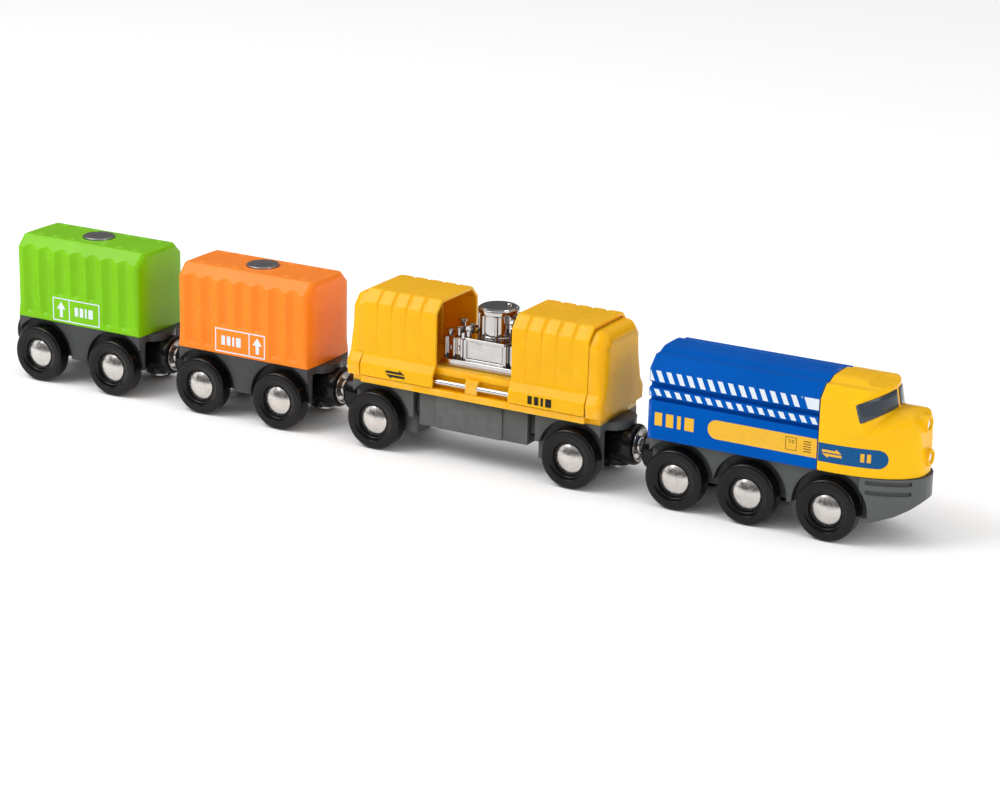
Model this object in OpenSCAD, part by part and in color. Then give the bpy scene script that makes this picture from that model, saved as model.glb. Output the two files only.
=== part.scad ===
// Push-along freight train for a wooden railway: a locomotive, a wagon with two sliding
// covers over a plated machine, and two wagons that carry lift-off containers.
// The train stands along X with its nose at +X. The wheels rest on Z = 0, and the
// origin is under the middle of the train.

/* [Train] */
// Length of a container wagon over its two magnets
short_len = 69.8; // [69:0.1:72]
// Length of the sliding-cover wagon over its two magnets
long_len = 112.9; // [112.5:0.1:115]
// From the locomotive's middle axle back to the face of its magnet
loco_tail = 42.9; // [42.7:0.1:44]
// From the middle axle forward to the tip of the nose
loco_nose = 54.4; // [54:0.1:56]
// Height of the chassis top that every body stands on
chassis_top = 22.2; // [22:0.1:23]
// Half width of the chassis side walls
chassis_y = 13; // [12.6:0.1:13.4]
// Radius of the wheel arches
arch_r = 12.6; // [11.5:0.1:13]

/* [Wheels and axles] */
// Diameter of a wheel
wheel_d = 20; // [19.6:0.1:20.4]
// Width of a wheel's tread
wheel_w = 5.5; // [5:0.1:5.8]
// Distance between the outer faces of a pair of wheels
wheel_span = 32.6; // [32:0.1:33]
// Rounding of a wheel's edges
wheel_round = 1; // [0.5:0.1:1.2]
// Diameter of the recess in a wheel's outer face
recess_d = 11.4; // [10.5:0.1:12]
// Depth of that recess
recess_deep = 1.5; // [1.2:0.1:1.8]
// Diameter of an axle
axle_d = 3; // [2.6:0.1:3.2]
// Diameter of the domed cap on each end of an axle
cap_d = 9.6; // [8.6:0.1:10]
// Radial clearance of an axle or a pin in its bore
play = 0.08; // [0.04:0.01:0.1]

/* [Couplings] */
// Height of the magnets above the floor
magnet_z = 13.7; // [13.5:0.1:14]
// Diameter of a magnet
magnet_d = 6; // [5.6:0.1:6.4]
// Diameter of the plated dish round a magnet
dish_d = 11; // [10.4:0.1:11.4]
// Diameter of the holder's barrel
holder_d = 13.6; // [13.2:0.1:13.8]
// Distance from a swivel pin to the face of its magnet
pin_reach = 9.4; // [9.2:0.1:9.8]
// Gap between two coupled magnets
magnet_gap = 0.04; // [0.02:0.01:0.1]

/* [Container wagons] */
// Distance between the two axles
short_base = 32; // [31.6:0.1:32.4]
// Length of the chassis walls
short_frame = 52.6; // [52:0.1:53]
// Length of a container
box_len = 52; // [51:0.1:52.6]
// Width of a container
box_w = 27; // [26.4:0.1:28]
// How far the middle of each end bulges beyond its corners
end_bulge = 0.7; // [0.2:0.1:1]
// Height of the container's roof above the floor
box_top = 51.8; // [51:0.1:52]
// Height at which the side turns into the roof's slope
box_shoulder = 47.7; // [47:0.1:48]
// Width of the flat part of the roof
box_roof_w = 18.2; // [17:0.1:19]
// Number of flutes along each side
flutes = 7; // [5:1:7]
// Distance between flutes
flute_pitch = 6.9; // [6.5:0.1:7]
// Depth of a flute
flute_deep = 0.9; // [0.5:0.1:1.1]
// Diameter of the steel disc on the roof
disc_d = 11.2; // [10:0.1:12]
// Height of the disc above the roof
disc_proud = 0.8; // [0.4:0.1:1]

/* [Sliding-cover wagon] */
// Distance between the two axles
long_base = 73.8; // [73.4:0.1:74.2]
// Length of the chassis
long_frame = 93; // [92.6:0.1:93.4]
// Length of the body over its two end housings
house_len = 96; // [95.6:0.1:97]
// Distance of an open cover's inner edge from the middle
cover_in = 14.2; // [14:0.1:14.4]
// Length of a cover
cover_len = 27.8; // [27.4:0.1:28]
// Height of the covers' roof
cover_top = 54; // [53.8:0.1:54.6]
// Diameter of a slide rod
rod_d = 1.9; // [1.7:0.1:2]
// Distance of the slide rods from the middle plane
rod_y = 13.9; // [13.8:0.1:14]
// Height of the slide rods
rod_z = 27.2; // [27:0.1:27.4]

/* [Locomotive] */
// Distance from the rear axle to the middle axle
rear_base = 24.9; // [24.7:0.1:25.2]
// Distance from the middle axle to the front axle
front_base = 26.9; // [26.7:0.1:27.2]
// Half width of the body
loco_y = 15; // [14.6:0.1:15.2]
// Distance of the body's rear face behind the middle axle
loco_rear = 35; // [34.8:0.1:35.4]
// Distance of the joint between body and cab ahead of the middle axle
cab_joint = 22.8; // [22.4:0.1:23.2]
// Depth of the two grooves along the body
groove_deep = 1.7; // [1:0.1:2]

/* [Hidden] */
$fn = 48;
eps = 0.01;

// Places of the four vehicles, each measured at its own middle
train_len = 2 * short_len + long_len + loco_tail + loco_nose;
loco_x = train_len / 2 - loco_nose;
cover_wagon_x = loco_x - loco_tail - long_len / 2;
orange_x = cover_wagon_x - (long_len + short_len) / 2;
green_x = orange_x - short_len;

// Wheels
wheel_r = wheel_d / 2;
axle_r = axle_d / 2;
bore_r = axle_r + play;
wheel_out = wheel_span / 2;
wheel_in = wheel_out - wheel_w;
spine_y = wheel_in - 0.5;
cap_base = wheel_out - recess_deep;
cap_edge = 0.3;
cap_rise = 1.4;
cap_r = cap_d / 2;
dome_r = (cap_r * cap_r + cap_rise * cap_rise) / (2 * cap_rise);

// Screws
head_r = 2.4;
head_gap = 0.2;
shank_r = 1.3;
cross_w = 0.6;

// Chassis
wall_bottom = 9.5;
boss_bottom = 6.5;
boss_x = 3.4;
pocket_y = 9.3;
plate_bottom = 19.4;
cowl_r = 8.2;
cowl_reach = 5.3;

// Couplings
holder_r = holder_d / 2;
holder_top = plate_bottom - 0.3;
barrel_back = pin_reach - 3.7;
barrel_face = pin_reach - 1.7;
holder_round = 1.2;
magnet_back = barrel_face - 2.6;
drum_r = 4.9;
drum_bottom = magnet_z - holder_r;
dish_r = dish_d / 2;
magnet_r = magnet_d / 2;
magnet_tip_r = 1.5;
pin_head_r = 2.8;
pin_head_h = 1.2;

// Containers
box_y = box_w / 2;
box_bottom = chassis_top;
flute_w = 5.7;
flute_r = (flute_w * flute_w / 4 + flute_deep * flute_deep) / (2 * flute_deep);
flute_floor = 24.5;
label_top = 32.5;
end_r = (box_y * box_y + end_bulge * end_bulge) / (2 * end_bulge);
end_angle = asin(box_y / end_r);
seat_deep = 1.2;
peg_x = 17;
peg_r = 2.5;
peg_h = 3;
peg_gap = 0.15;

// Sliding-cover wagon
deck_top = 31.6;
deck_bottom = chassis_top;
flange_top = 25;
flange_x = 42;
flange_y = 15.5;
house_x = house_len / 2;
house_in = 42.2;
sleeve_in = 26.5;
rod_r = rod_d / 2;
rod_end = 44.4;
lug_len = 3.8;
cover_outer = [[16, 25.3], [16, 29.2], [14, 32.5], [14, 50], [10.2, cover_top]];
cover_inner = [[15.05, 25.2], [15.05, 28.9], [12.75, 32.4], [12.75, 49.6], [9.7, cover_top - 1.2]];
cap_outer = [[16, flange_top], [16, 29.2], [13.6, 32.8], [13.4, 48.4], [9.6, 52.4]];
sleeve_outer = [[12.35, deck_top], [12.35, 49.4], [9.4, 52.35]];
sleeve_inner = [[11.1, deck_top], [11.1, 48.9], [8.9, 51.1]];
rib_count = 5;
rib_groove = 1.1;
rib_deep = 0.35;
deck_x = 41.8;
post_x0 = -2.5;
post_x1 = 2.1;
screw_x = 10;
belly_bottom = 11;
wagon_screw_z = 14.5;
wagon_screw_tip = 28;

// Plated machine
skid_x0 = -16;
skid_x1 = 17;
skid_y = 9.4;
skid_top = 34.2;
box_x0 = -6.8;
box_x1 = 9.2;
front_half = 8.6;
end_half = 6.4;
rib_half = 7.4;
rib_w = 1.2;
machine_top = 42;
side_top = 41;
tank_x = 0.9;
tank_y = 1.2;
tank_r = 6.1;
tank_top = 51.5;
small_dome_x = 6.4;
small_dome_y = 4.2;
small_dome_r = 2.7;
small_dome_top = 49.6;
pipe_x = 9.6;
pipe_y = -3.6;
pipe_z = 45;
pipe_bend = 2.6;
pipe_r = 1.1;
pipe_collar = 1.9;
valves = [[-14, -4.6, 2.2], [-10.6, -4.4, 3.4], [-14, 3.6, 3.6], [-10.4, 3.4, 2.6]];
stubs = [[12.6, 3.6, 3.6], [15, -2, 2.4]];

// Locomotive
loco_bottom = chassis_top;
groove_y = loco_y - groove_deep;
side_half = [
    [loco_y, loco_bottom], [loco_y, 34.8], [groove_y, 35.1], [groove_y, 36.1], [loco_y, 36.4],
    [loco_y, 39.1], [groove_y, 39.4], [groove_y, 40.7], [loco_y, 41], [loco_y, 45.2]
];
roof_half = [[10.9, 49], [9.4, 49], [8, 49.1], [5.4, 50.2], [3.2, 50.4]];
loco_section = concat(side_half, roof_half);
cab_section = concat([[loco_y, loco_bottom], [loco_y, 45.2]], roof_half);
hood_r = 20;
hood_axis_z = 22.5;
hood_angle = acos(loco_y / hood_r);
nose_start = 24;
nose_power = 2.3;
nose_steps = 24;
nose_lean = 1;
screen_axis_x = 23.9;
screen_low_r = 20.5;
screen_high_r = 17.4;
screen_low_z = 35;
screen_high_z = 50.6;
pane_proud = 0.15;
pane_deep = 0.7;
lamp_zs = [27.8, 38.3];
lamp_faces = [54.4, 53.2];
lamp_r = 2.7;
lens_r = 1.9;
lens_deep = 1.6;
slot_zs = [17.5, 20.7];
slot_half = 0.6;
slot_deep = 0.8;
pilot_top = chassis_top;
screw_xs = [-12.4, 13.4];
nose_screw_x = 44;
loco_screw_z = 13;
loco_screw_tip = 29;

// A list of points on an arc, for outlines
function arc(cx, cy, r, a0, a1, n) = [
    for (i = [0:n]) [cx + r * cos(a0 + (a1 - a0) * i / n), cy + r * sin(a0 + (a1 - a0) * i / n)]
];

// The outline made of a right half and its mirror image
function mirrored(half) = concat(
    half, [for (i = [len(half) - 1:-1:0]) [-half[i][0], half[i][1]]]
);

module block(x0, x1, y, z0, z1) {
    translate([x0, -y, z0]) cube([x1 - x0, 2 * y, z1 - z0]);
}

module along_x(x0, x1) {
    translate([x0, 0, 0]) rotate([90, 0, 90]) linear_extrude(x1 - x0) children();
}

module across_y(half) {
    rotate([90, 0, 0]) linear_extrude(2 * half, center = true) children();
}

module at_axle(x) {
    translate([x, 0, wheel_r]) rotate([-90, 0, 0]) children();
}

module both_sides() {
    children();
    mirror([0, 1, 0]) children();
}

module both_ends() {
    children();
    mirror([1, 0, 0]) children();
}

// Running gear -----------------------------------------------------------------------------

module wheel_outline() {
    outer = arc(wheel_r - wheel_round, wheel_out - wheel_round, wheel_round, 0, 90, 5);
    inner = arc(wheel_r - wheel_round, wheel_in + wheel_round, wheel_round, -90, 0, 5);
    face = [
        [recess_d / 2 + 1.3, wheel_out], [recess_d / 2 + 1, wheel_out - 0.4],
        [recess_d / 2 + 0.2, wheel_out - 0.4], [recess_d / 2, wheel_out - recess_deep],
        [axle_r, wheel_out - recess_deep]
    ];
    polygon(concat([[axle_r, wheel_in]], inner, outer, face));
}

module wheel_pair(x) {
    color([0.1, 0.1, 0.1]) at_axle(x) {
        rotate_extrude() wheel_outline();
        mirror([0, 0, 1]) rotate_extrude() wheel_outline();
    }
}

module cap_outline() {
    rim = cap_base + cap_edge;
    edge_angle = asin(cap_r / dome_r);
    dome = arc(0, rim + cap_rise - dome_r, dome_r, 90 - edge_angle, 90, 8);
    polygon(concat([[0, 0], [axle_r, 0], [axle_r, cap_base], [cap_r, cap_base]], dome));
}

module axle(x) {
    color([0.8, 0.8, 0.78]) at_axle(x) {
        rotate_extrude() cap_outline();
        mirror([0, 0, 1]) rotate_extrude() cap_outline();
    }
}

// Space for the wheels of one axle beside the spine
module wheel_space(x) {
    both_sides() translate([x, spine_y, wheel_r]) rotate([-90, 0, 0]) cylinder(r = arch_r, h = 10);
}

module axle_boss(x) {
    block(x - boss_x, x + boss_x, spine_y, boss_bottom, wall_bottom + 2);
}

module axle_bore(x) {
    translate([x, -20, wheel_r]) rotate([-90, 0, 0]) cylinder(r = bore_r, h = 40);
}

// Couplings: drawn at the swivel pin's foot, pointing to +X --------------------------------

module coupler_pocket(front) {
    block(-drum_r - 0.4, front, pocket_y, 0, plate_bottom);
}

module cowl(length) {
    translate([cowl_reach - cowl_r, 0, plate_bottom])
        cylinder(r = cowl_r, h = chassis_top - plate_bottom);
    block(-length, cowl_reach - cowl_r, cowl_r, plate_bottom, chassis_top);
}

module pin_hole() {
    translate([0, 0, plate_bottom - 1]) cylinder(r = axle_r, h = chassis_top - plate_bottom + 0.6);
}

module barrel_outline() {
    nose = arc(holder_r - holder_round, barrel_face - holder_round, holder_round, 0, 90, 5);
    dish_floor = barrel_face - 0.9;
    polygon(concat(
        [[0, 0], [holder_r, 0]], nose,
        [[dish_r, barrel_face], [dish_r, dish_floor], [magnet_r, dish_floor],
         [magnet_r, magnet_back], [0, magnet_back]]
    ));
}

module holder() {
    color([0.09, 0.09, 0.09]) difference() {
        union() {
            intersection() {
                translate([0, 0, magnet_z]) rotate([0, 90, 0]) rotate_extrude() barrel_outline();
                union() {
                    block(0, barrel_back, 10, 0, holder_top);
                    block(barrel_back - eps, barrel_face + 1, 10, 0, 30);
                }
            }
            translate([0, 0, drum_bottom]) cylinder(r = drum_r, h = holder_top - drum_bottom);
        }
        cylinder(r = bore_r, h = 30);
    }
}

module dish_outline() {
    floor_x = barrel_face - 0.9;
    polygon([
        [magnet_r, floor_x], [dish_r, floor_x], [dish_r, barrel_face + 0.35],
        [dish_r - 0.5, barrel_face + 0.35], [dish_r - 1.3, floor_x + 0.6], [magnet_r, floor_x + 0.5]
    ]);
}

module magnet_outline() {
    tip = pin_reach - magnet_gap / 2;
    edge = magnet_r - magnet_tip_r;
    crown = arc(magnet_tip_r, tip - edge, edge, 0, 90, 5);
    polygon(concat([[0, magnet_back], [magnet_r, magnet_back]], crown, [[0, tip]]));
}

module magnet() {
    color([0.72, 0.72, 0.7]) translate([0, 0, magnet_z]) rotate([0, 90, 0]) {
        rotate_extrude() dish_outline();
        rotate_extrude() magnet_outline();
    }
}

module pin() {
    color([0.6, 0.6, 0.6]) {
        translate([0, 0, drum_bottom - 0.2 - pin_head_h]) cylinder(r = pin_head_r, h = pin_head_h);
        translate([0, 0, drum_bottom - 0.3]) cylinder(r = axle_r, h = plate_bottom + 1.6 - drum_bottom);
    }
}

module at_front(x, length) {
    translate([x + length / 2 - pin_reach, 0, 0]) children();
}

module at_rear(x, length) {
    translate([x - length / 2 + pin_reach, 0, 0]) mirror([1, 0, 0]) children();
}

// Container wagon --------------------------------------------------------------------------

module short_chassis(x) {
    half = short_frame / 2;
    pin_x = short_len / 2 - pin_reach;
    color([0.28, 0.29, 0.29]) translate([x, 0, 0]) difference() {
        union() {
            difference() {
                block(-half, half, chassis_y, wall_bottom, chassis_top);
                both_ends() wheel_space(short_base / 2);
            }
            both_ends() axle_boss(short_base / 2);
            both_ends() translate([pin_x, 0, 0]) cowl(3);
            both_ends() translate([peg_x, 0, chassis_top - eps]) cylinder(r = peg_r, h = peg_h + eps);
        }
        both_ends() axle_bore(short_base / 2);
        both_ends() translate([pin_x, 0, 0]) coupler_pocket(10);
        both_ends() translate([pin_x, 0, 0]) pin_hole();
    }
}

// Plan of a container, its two ends bulging slightly
module container_plan() {
    centre = box_len / 2 + end_bulge - end_r;
    polygon(concat(
        arc(centre, 0, end_r, -end_angle, end_angle, 10),
        arc(-centre, 0, end_r, 180 - end_angle, 180 + end_angle, 10)
    ));
}

module container(x) {
    translate([x, 0, 0]) difference() {
        intersection() {
            along_x(-box_len / 2 - end_bulge, box_len / 2 + end_bulge) polygon(mirrored([
                [box_y, box_bottom], [box_y, box_shoulder], [box_roof_w / 2, box_top]
            ]));
            linear_extrude(box_top + 1) container_plan();
        }
        for (i = [0:flutes - 1]) {
            side_step = i - (flutes - 1) / 2;
            floor_z = abs(side_step) < 1.5 ? label_top : flute_floor;
            both_sides()
                translate([side_step * flute_pitch, box_y - flute_deep + flute_r, floor_z])
                    cylinder(r = flute_r, h = 40, $fn = 96);
        }
        translate([0, 0, box_top - seat_deep]) cylinder(r = disc_d / 2 + 0.2, h = 5);
        both_ends() translate([peg_x, 0, box_bottom - 1])
            cylinder(r = peg_r + peg_gap, h = peg_h + 1.4);
    }
}

module lift_disc(x) {
    color([0.45, 0.44, 0.46]) translate([x, 0, box_top - seat_deep])
        cylinder(r = disc_d / 2, h = seat_deep + disc_proud);
}

// Wagon with sliding covers ----------------------------------------------------------------

module long_chassis() {
    half = long_frame / 2;
    pin_x = long_len / 2 - pin_reach;
    color([0.37, 0.38, 0.38]) translate([cover_wagon_x, 0, 0]) difference() {
        union() {
            difference() {
                union() {
                    both_ends() block(23, half, chassis_y, wall_bottom + 3.5, chassis_top);
                    both_ends() block(23, half, spine_y, boss_bottom, chassis_top);
                    block(-24, 24, spine_y, wall_bottom + 5, chassis_top);
                    block(-20.5, 20.2, chassis_y, belly_bottom, chassis_top);
                    block(-14, 11, chassis_y + 0.6, belly_bottom, chassis_top);
                }
                both_ends() wheel_space(long_base / 2);
            }
            both_ends() translate([pin_x, 0, 0]) cowl(3);
        }
        both_ends() axle_bore(long_base / 2);
        both_ends() translate([pin_x, 0, 0]) coupler_pocket(10);
        both_ends() translate([pin_x, 0, 0]) pin_hole();
        both_ends() translate([screw_x, 0, 0]) screw_hole(belly_bottom, wagon_screw_z, chassis_top);
    }
}

// A stepped hole for a screw whose head sits at head_z
module screw_hole(z0, head_z, z1) {
    translate([0, 0, z0 - 4]) cylinder(r = head_r + head_gap, h = head_z - z0 + 4);
    translate([0, 0, head_z - 1]) cylinder(r = 1.6, h = z1 - head_z + 2);
}

module screw(head_z, tip_z) {
    color([0.7, 0.7, 0.68]) difference() {
        union() {
            translate([0, 0, head_z - 1.4]) cylinder(r = head_r, h = 1.4);
            translate([0, 0, head_z - 0.2]) cylinder(r = shank_r, h = tip_z - head_z + 0.2);
        }
        translate([-head_r, -cross_w / 2, head_z - 2]) cube([2 * head_r, cross_w, 1.1]);
        translate([-cross_w / 2, -head_r, head_z - 2]) cube([cross_w, 2 * head_r, 1.1]);
    }
}

module deck() {
    color([0.98, 0.72, 0.08]) translate([cover_wagon_x, 0, 0]) difference() {
        union() {
            block(-flange_x, flange_x, flange_y, deck_bottom + 0.6, flange_top);
            block(-long_frame / 2, long_frame / 2, chassis_y - 0.2, deck_bottom, flange_top);
            block(-deck_x, deck_x, 12.2, flange_top - eps, deck_top);
            block(-deck_x, deck_x, 12.8, 29.4, deck_top);
            block(post_x0, post_x1, 14.7, flange_top - eps, 28.8);
            block(post_x0, post_x1, 13.9, 28.7, 29.8);
        }
        both_sides() translate([-50, rod_y, rod_z]) rotate([0, 90, 0]) cylinder(r = rod_r, h = 100);
        both_ends() translate([screw_x, 0, 20]) cylinder(r = shank_r, h = 8);
        translate([0, 0, deck_top - 1]) cargo_footprint(4);
    }
}

// Rounded end of a housing, seen from above
module end_plan(half_y, round_r) {
    polygon(concat(
        [[house_in - 5, half_y]],
        arc(house_x - round_r, half_y - round_r, round_r, 90, 0, 6),
        arc(house_x - round_r, round_r - half_y, round_r, 0, -90, 6),
        [[house_in - 5, -half_y]]
    ));
}

module housing() {
    color([0.98, 0.74, 0.1]) difference() {
        union() {
            intersection() {
                along_x(house_in, house_x) polygon(mirrored(cap_outer));
                union() {
                    linear_extrude(31) end_plan(16, 3);
                    translate([0, 0, 30.9]) linear_extrude(30) end_plan(14, 4);
                }
            }
            along_x(sleeve_in, house_in + 1) polygon(mirrored(sleeve_outer));
        }
        along_x(sleeve_in - 1, house_x - 1.6) polygon(mirrored(sleeve_inner));
        block(house_in - eps, house_x - 1.6, 11.1, flange_top - 1, deck_top + 1);
        both_sides() translate([house_in - 1, rod_y, rod_z])
            rotate([0, 90, 0]) cylinder(r = rod_r, h = rod_end - house_in + 1);
    }
}

module cover_ring() {
    difference() {
        polygon(mirrored(cover_outer));
        polygon(mirrored([for (p = cover_outer) [p[0] - rib_deep, p[1] > 30 ? p[1] - rib_deep : p[1]]]));
        translate([-20, 0]) square([40, 33.5]);
        translate([-8.8, 40]) square([17.6, 40]);
    }
}

module cover() {
    lug_starts = [cover_in + 3, cover_in + cover_len - 1.2 - lug_len];
    color([1, 0.75, 0.1]) difference() {
        union() {
            difference() {
                along_x(cover_in, cover_in + cover_len) polygon(mirrored(cover_outer));
                along_x(cover_in - 1, cover_in + cover_len + 1) polygon(mirrored(cover_inner));
            }
            for (x0 = lug_starts) {
                both_sides() translate([x0, 12.6, 25.4]) cube([lug_len, 2.6, 3.4]);
            }
        }
        for (i = [1:rib_count - 1]) {
            groove_x = cover_in + i * cover_len / rib_count;
            along_x(groove_x - rib_groove / 2, groove_x + rib_groove / 2) cover_ring();
        }
        both_sides() translate([0, rod_y, rod_z]) rotate([0, 90, 0])
            cylinder(r = rod_r + play, h = 60);
    }
}

module slide_rods() {
    color([0.85, 0.85, 0.86]) translate([cover_wagon_x, 0, 0]) both_sides()
        translate([-rod_end, rod_y, rod_z]) rotate([0, 90, 0]) cylinder(r = rod_r, h = 2 * rod_end);
}

// The plated machine on the deck -------------------------------------------------------------

module cargo_footprint(h) {
    translate([skid_x0, -skid_y, 0]) cube([skid_x1 - skid_x0, 2 * skid_y, h]);
}

module cargo_base() {
    color([0.8, 0.8, 0.82]) translate([cover_wagon_x, 0, 0]) {
        translate([0, 0, deck_top - 1]) cargo_footprint(skid_top - deck_top + 1);
        difference() {
            block(box_x0, box_x1, front_half, skid_top - eps, machine_top);
            both_sides() translate([box_x0 + rib_w, -front_half - 0.4, skid_top + 0.8])
                cube([box_x1 - box_x0 - 2 * rib_w, 0.9, machine_top - skid_top - 1.6]);
        }
        block(skid_x0 + 1, box_x0 + eps, end_half, skid_top - eps, side_top);
        block(box_x1 - eps, skid_x1 - 1, end_half, skid_top - eps, side_top);
        for (x = [skid_x0 + 1, skid_x0 + 4.2, box_x1 + 2.6, skid_x1 - 1 - rib_w]) {
            block(x, x + rib_w, rib_half, skid_top - eps, side_top);
        }
    }
}

module cargo_tank() {
    color([0.75, 0.75, 0.78]) {
        translate([cover_wagon_x + tank_x, tank_y, 0]) {
            translate([0, 0, machine_top]) cylinder(r = tank_r - 0.5, h = tank_top - machine_top);
            translate([0, 0, tank_top - 1.7]) cylinder(r = tank_r, h = 1.2);
            translate([0, 0, tank_top - 0.6]) cylinder(r1 = tank_r, r2 = tank_r - 0.7, h = 0.6);
            translate([2.6, 2.6, tank_top - 0.1]) cylinder(r = 0.9, h = 0.8);
            for (a = [45:90:315]) {
                rotate(a) translate([tank_r - 1, -0.7, machine_top]) cube([1.3, 1.4, 8.6]);
            }
        }
        translate([cover_wagon_x + small_dome_x, small_dome_y, machine_top])
            cylinder(r = small_dome_r, h = small_dome_top - machine_top);
    }
}

module bend(r_bend, r_pipe) {
    rotate([90, 0, 0]) rotate_extrude(angle = 90) translate([r_bend, 0]) circle(r = r_pipe);
}

module cargo_pipework() {
    color([0.82, 0.82, 0.84]) translate([cover_wagon_x, 0, 0]) {
        translate([pipe_x, pipe_y, 0]) {
            translate([pipe_bend, 0, side_top]) cylinder(r = pipe_r, h = pipe_z - side_top);
            translate([0, 0, pipe_z]) bend(pipe_bend, pipe_r);
            translate([pipe_bend, 0, side_top]) cylinder(r = pipe_collar, h = 0.9);
            translate([-0.9, 0, pipe_z + pipe_bend]) rotate([0, 90, 0])
                cylinder(r = pipe_collar, h = 0.9);
        }
        for (p = valves) {
            translate([p[0], p[1], side_top]) cylinder(r = 0.9, h = p[2]);
            translate([p[0], p[1], side_top + p[2] - 1]) cylinder(r = 1.4, h = 1);
        }
        for (p = stubs) {
            translate([p[0], p[1], side_top]) cylinder(r = 1.3, h = p[2]);
        }
    }
}

// Locomotive ---------------------------------------------------------------------------------

module loco_chassis() {
    pin_x = loco_tail - pin_reach;
    color([0.37, 0.38, 0.38]) translate([loco_x, 0, 0]) difference() {
        union() {
            difference() {
                block(-loco_rear, 36.5, chassis_y, wall_bottom, chassis_top);
                for (x = [-rear_base, 0, front_base]) {
                    wheel_space(x);
                }
            }
            for (x = [-rear_base, 0, front_base]) {
                axle_boss(x);
            }
            translate([-pin_x, 0, 0]) mirror([1, 0, 0]) cowl(3);
        }
        for (x = [-rear_base, 0, front_base]) {
            axle_bore(x);
        }
        translate([-pin_x, 0, 0]) mirror([1, 0, 0]) coupler_pocket(10);
        translate([-pin_x, 0, 0]) mirror([1, 0, 0]) pin_hole();
        for (x = screw_xs) {
            translate([x, 0, 0]) screw_hole(wall_bottom, loco_screw_z, chassis_top);
        }
    }
}

module loco_body() {
    color([0, 0.36, 0.68]) translate([loco_x, 0, 0]) difference() {
        along_x(-loco_rear, cab_joint) polygon(mirrored(loco_section));
        for (x = screw_xs) {
            translate([x, 0, loco_bottom - 1]) cylinder(r = shank_r, h = 9);
        }
    }
}

// Plan of the nose: a bluff half ellipse that starts just ahead of the cab's joint
module nose_shape(tip_inset, side_inset) {
    tip = loco_nose - nose_start - tip_inset;
    half = loco_y - side_inset;
    polygon(concat(
        [[cab_joint - 1, -half]],
        [for (i = [0:nose_steps]) let (a = 180 * i / nose_steps - 90) [
            nose_start + tip * pow(abs(cos(a)), 2 / nose_power),
            half * sign(a) * pow(abs(sin(a)), 2 / nose_power)
        ]],
        [[cab_joint - 1, half]]
    ));
}

// Side view of the part of the cab below the window line
module hood_side() {
    polygon([
        [cab_joint, loco_bottom], [loco_nose - nose_lean, loco_bottom], [52.2, 36], [51.4, 39.8],
        [49.8, 41.6], [47.4, 42.5], [43.6, 42.3], [34.6, 38.2], [cab_joint, 38.2]
    ]);
}

// Section of the hood, with a crowned top
module hood_section() {
    polygon(mirrored(concat(
        [[loco_y, loco_bottom]], arc(0, hood_axis_z, hood_r, hood_angle, 88, 8)
    )));
}

module screen_cone(grow) {
    translate([screen_axis_x, 0, screen_low_z]) cylinder(
        r1 = screen_low_r + grow, r2 = screen_high_r + grow, h = screen_high_z - screen_low_z, $fn = 96
    );
}

// Band that the windows lie in, seen from the side
module window_band() {
    across_y(20) polygon([[34.8, 38.9], [43.4, 42.6], [43.4, 48.4], [33.4, 44.6]]);
}

module window_panes() {
    intersection() {
        difference() {
            screen_cone(pane_proud);
            screen_cone(-pane_deep);
        }
        window_band();
        both_sides() translate([30, 0.9, 30]) cube([20, 14, 30]);
    }
}

module lamp_at(z) {
    translate([0, 0, z]) rotate([0, 90, 0]) children();
}

module loco_cab() {
    color([1, 0.78, 0.05]) translate([loco_x, 0, 0]) difference() {
        union() {
            intersection() {
                along_x(cab_joint, 45) polygon(mirrored(cab_section));
                screen_cone(0);
            }
            intersection() {
                along_x(cab_joint, 60) hood_section();
                linear_extrude(60) nose_shape(nose_lean, 0);
                across_y(20) hood_side();
            }
            for (i = [0:1]) {
                translate([48, 0, 0]) lamp_at(lamp_zs[i]) cylinder(r = lamp_r, h = lamp_faces[i] - 48);
            }
        }
        window_panes();
        for (i = [0:1]) {
            translate([lamp_faces[i] - lens_deep, 0, 0]) lamp_at(lamp_zs[i])
                cylinder(r = lens_r, h = 3);
        }
        across_y(7) polygon([[33.7, 50.5], [35.6, 49.3], [48, 49.3], [48, 53], [33.7, 53]]);
        translate([nose_screw_x, 0, loco_bottom - 1]) cylinder(r = shank_r, h = 9);
    }
}

module cab_windows() {
    color([0.25, 0.27, 0.31]) translate([loco_x, 0, 0]) window_panes();
}

module headlamp_lenses() {
    color([0.85, 0.86, 0.88]) translate([loco_x - lens_deep, 0, 0]) for (i = [0:1]) {
        translate([lamp_faces[i], 0, 0]) lamp_at(lamp_zs[i]) cylinder(r = lens_r, h = 0.9);
    }
}

module loco_pilot() {
    color([0.37, 0.39, 0.39]) translate([loco_x, 0, 0]) difference() {
        intersection() {
            linear_extrude(60) nose_shape(0, 0);
            across_y(20) polygon([
                [36.5, 7.6], [41, 8], [47.2, 10.2], [51.2, 12.4], [53.6, 14.2], [loco_nose + 1, 15.6],
                [loco_nose + 1, pilot_top], [36.5, pilot_top]
            ]);
        }
        wheel_space(front_base);
        for (z = slot_zs) {
            difference() {
                block(38.4, 51.2, 20, z - slot_half, z + slot_half);
                linear_extrude(60) nose_shape(slot_deep, slot_deep);
            }
        }
        translate([nose_screw_x, 0, 0]) screw_hole(wall_bottom, loco_screw_z, pilot_top);
    }
}

module loco_screws() {
    translate([loco_x, 0, 0]) {
        for (x = concat(screw_xs, nose_screw_x)) {
            translate([x, 0, 0]) screw(loco_screw_z, loco_screw_tip);
        }
    }
}

// Assembly -----------------------------------------------------------------------------------

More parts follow.
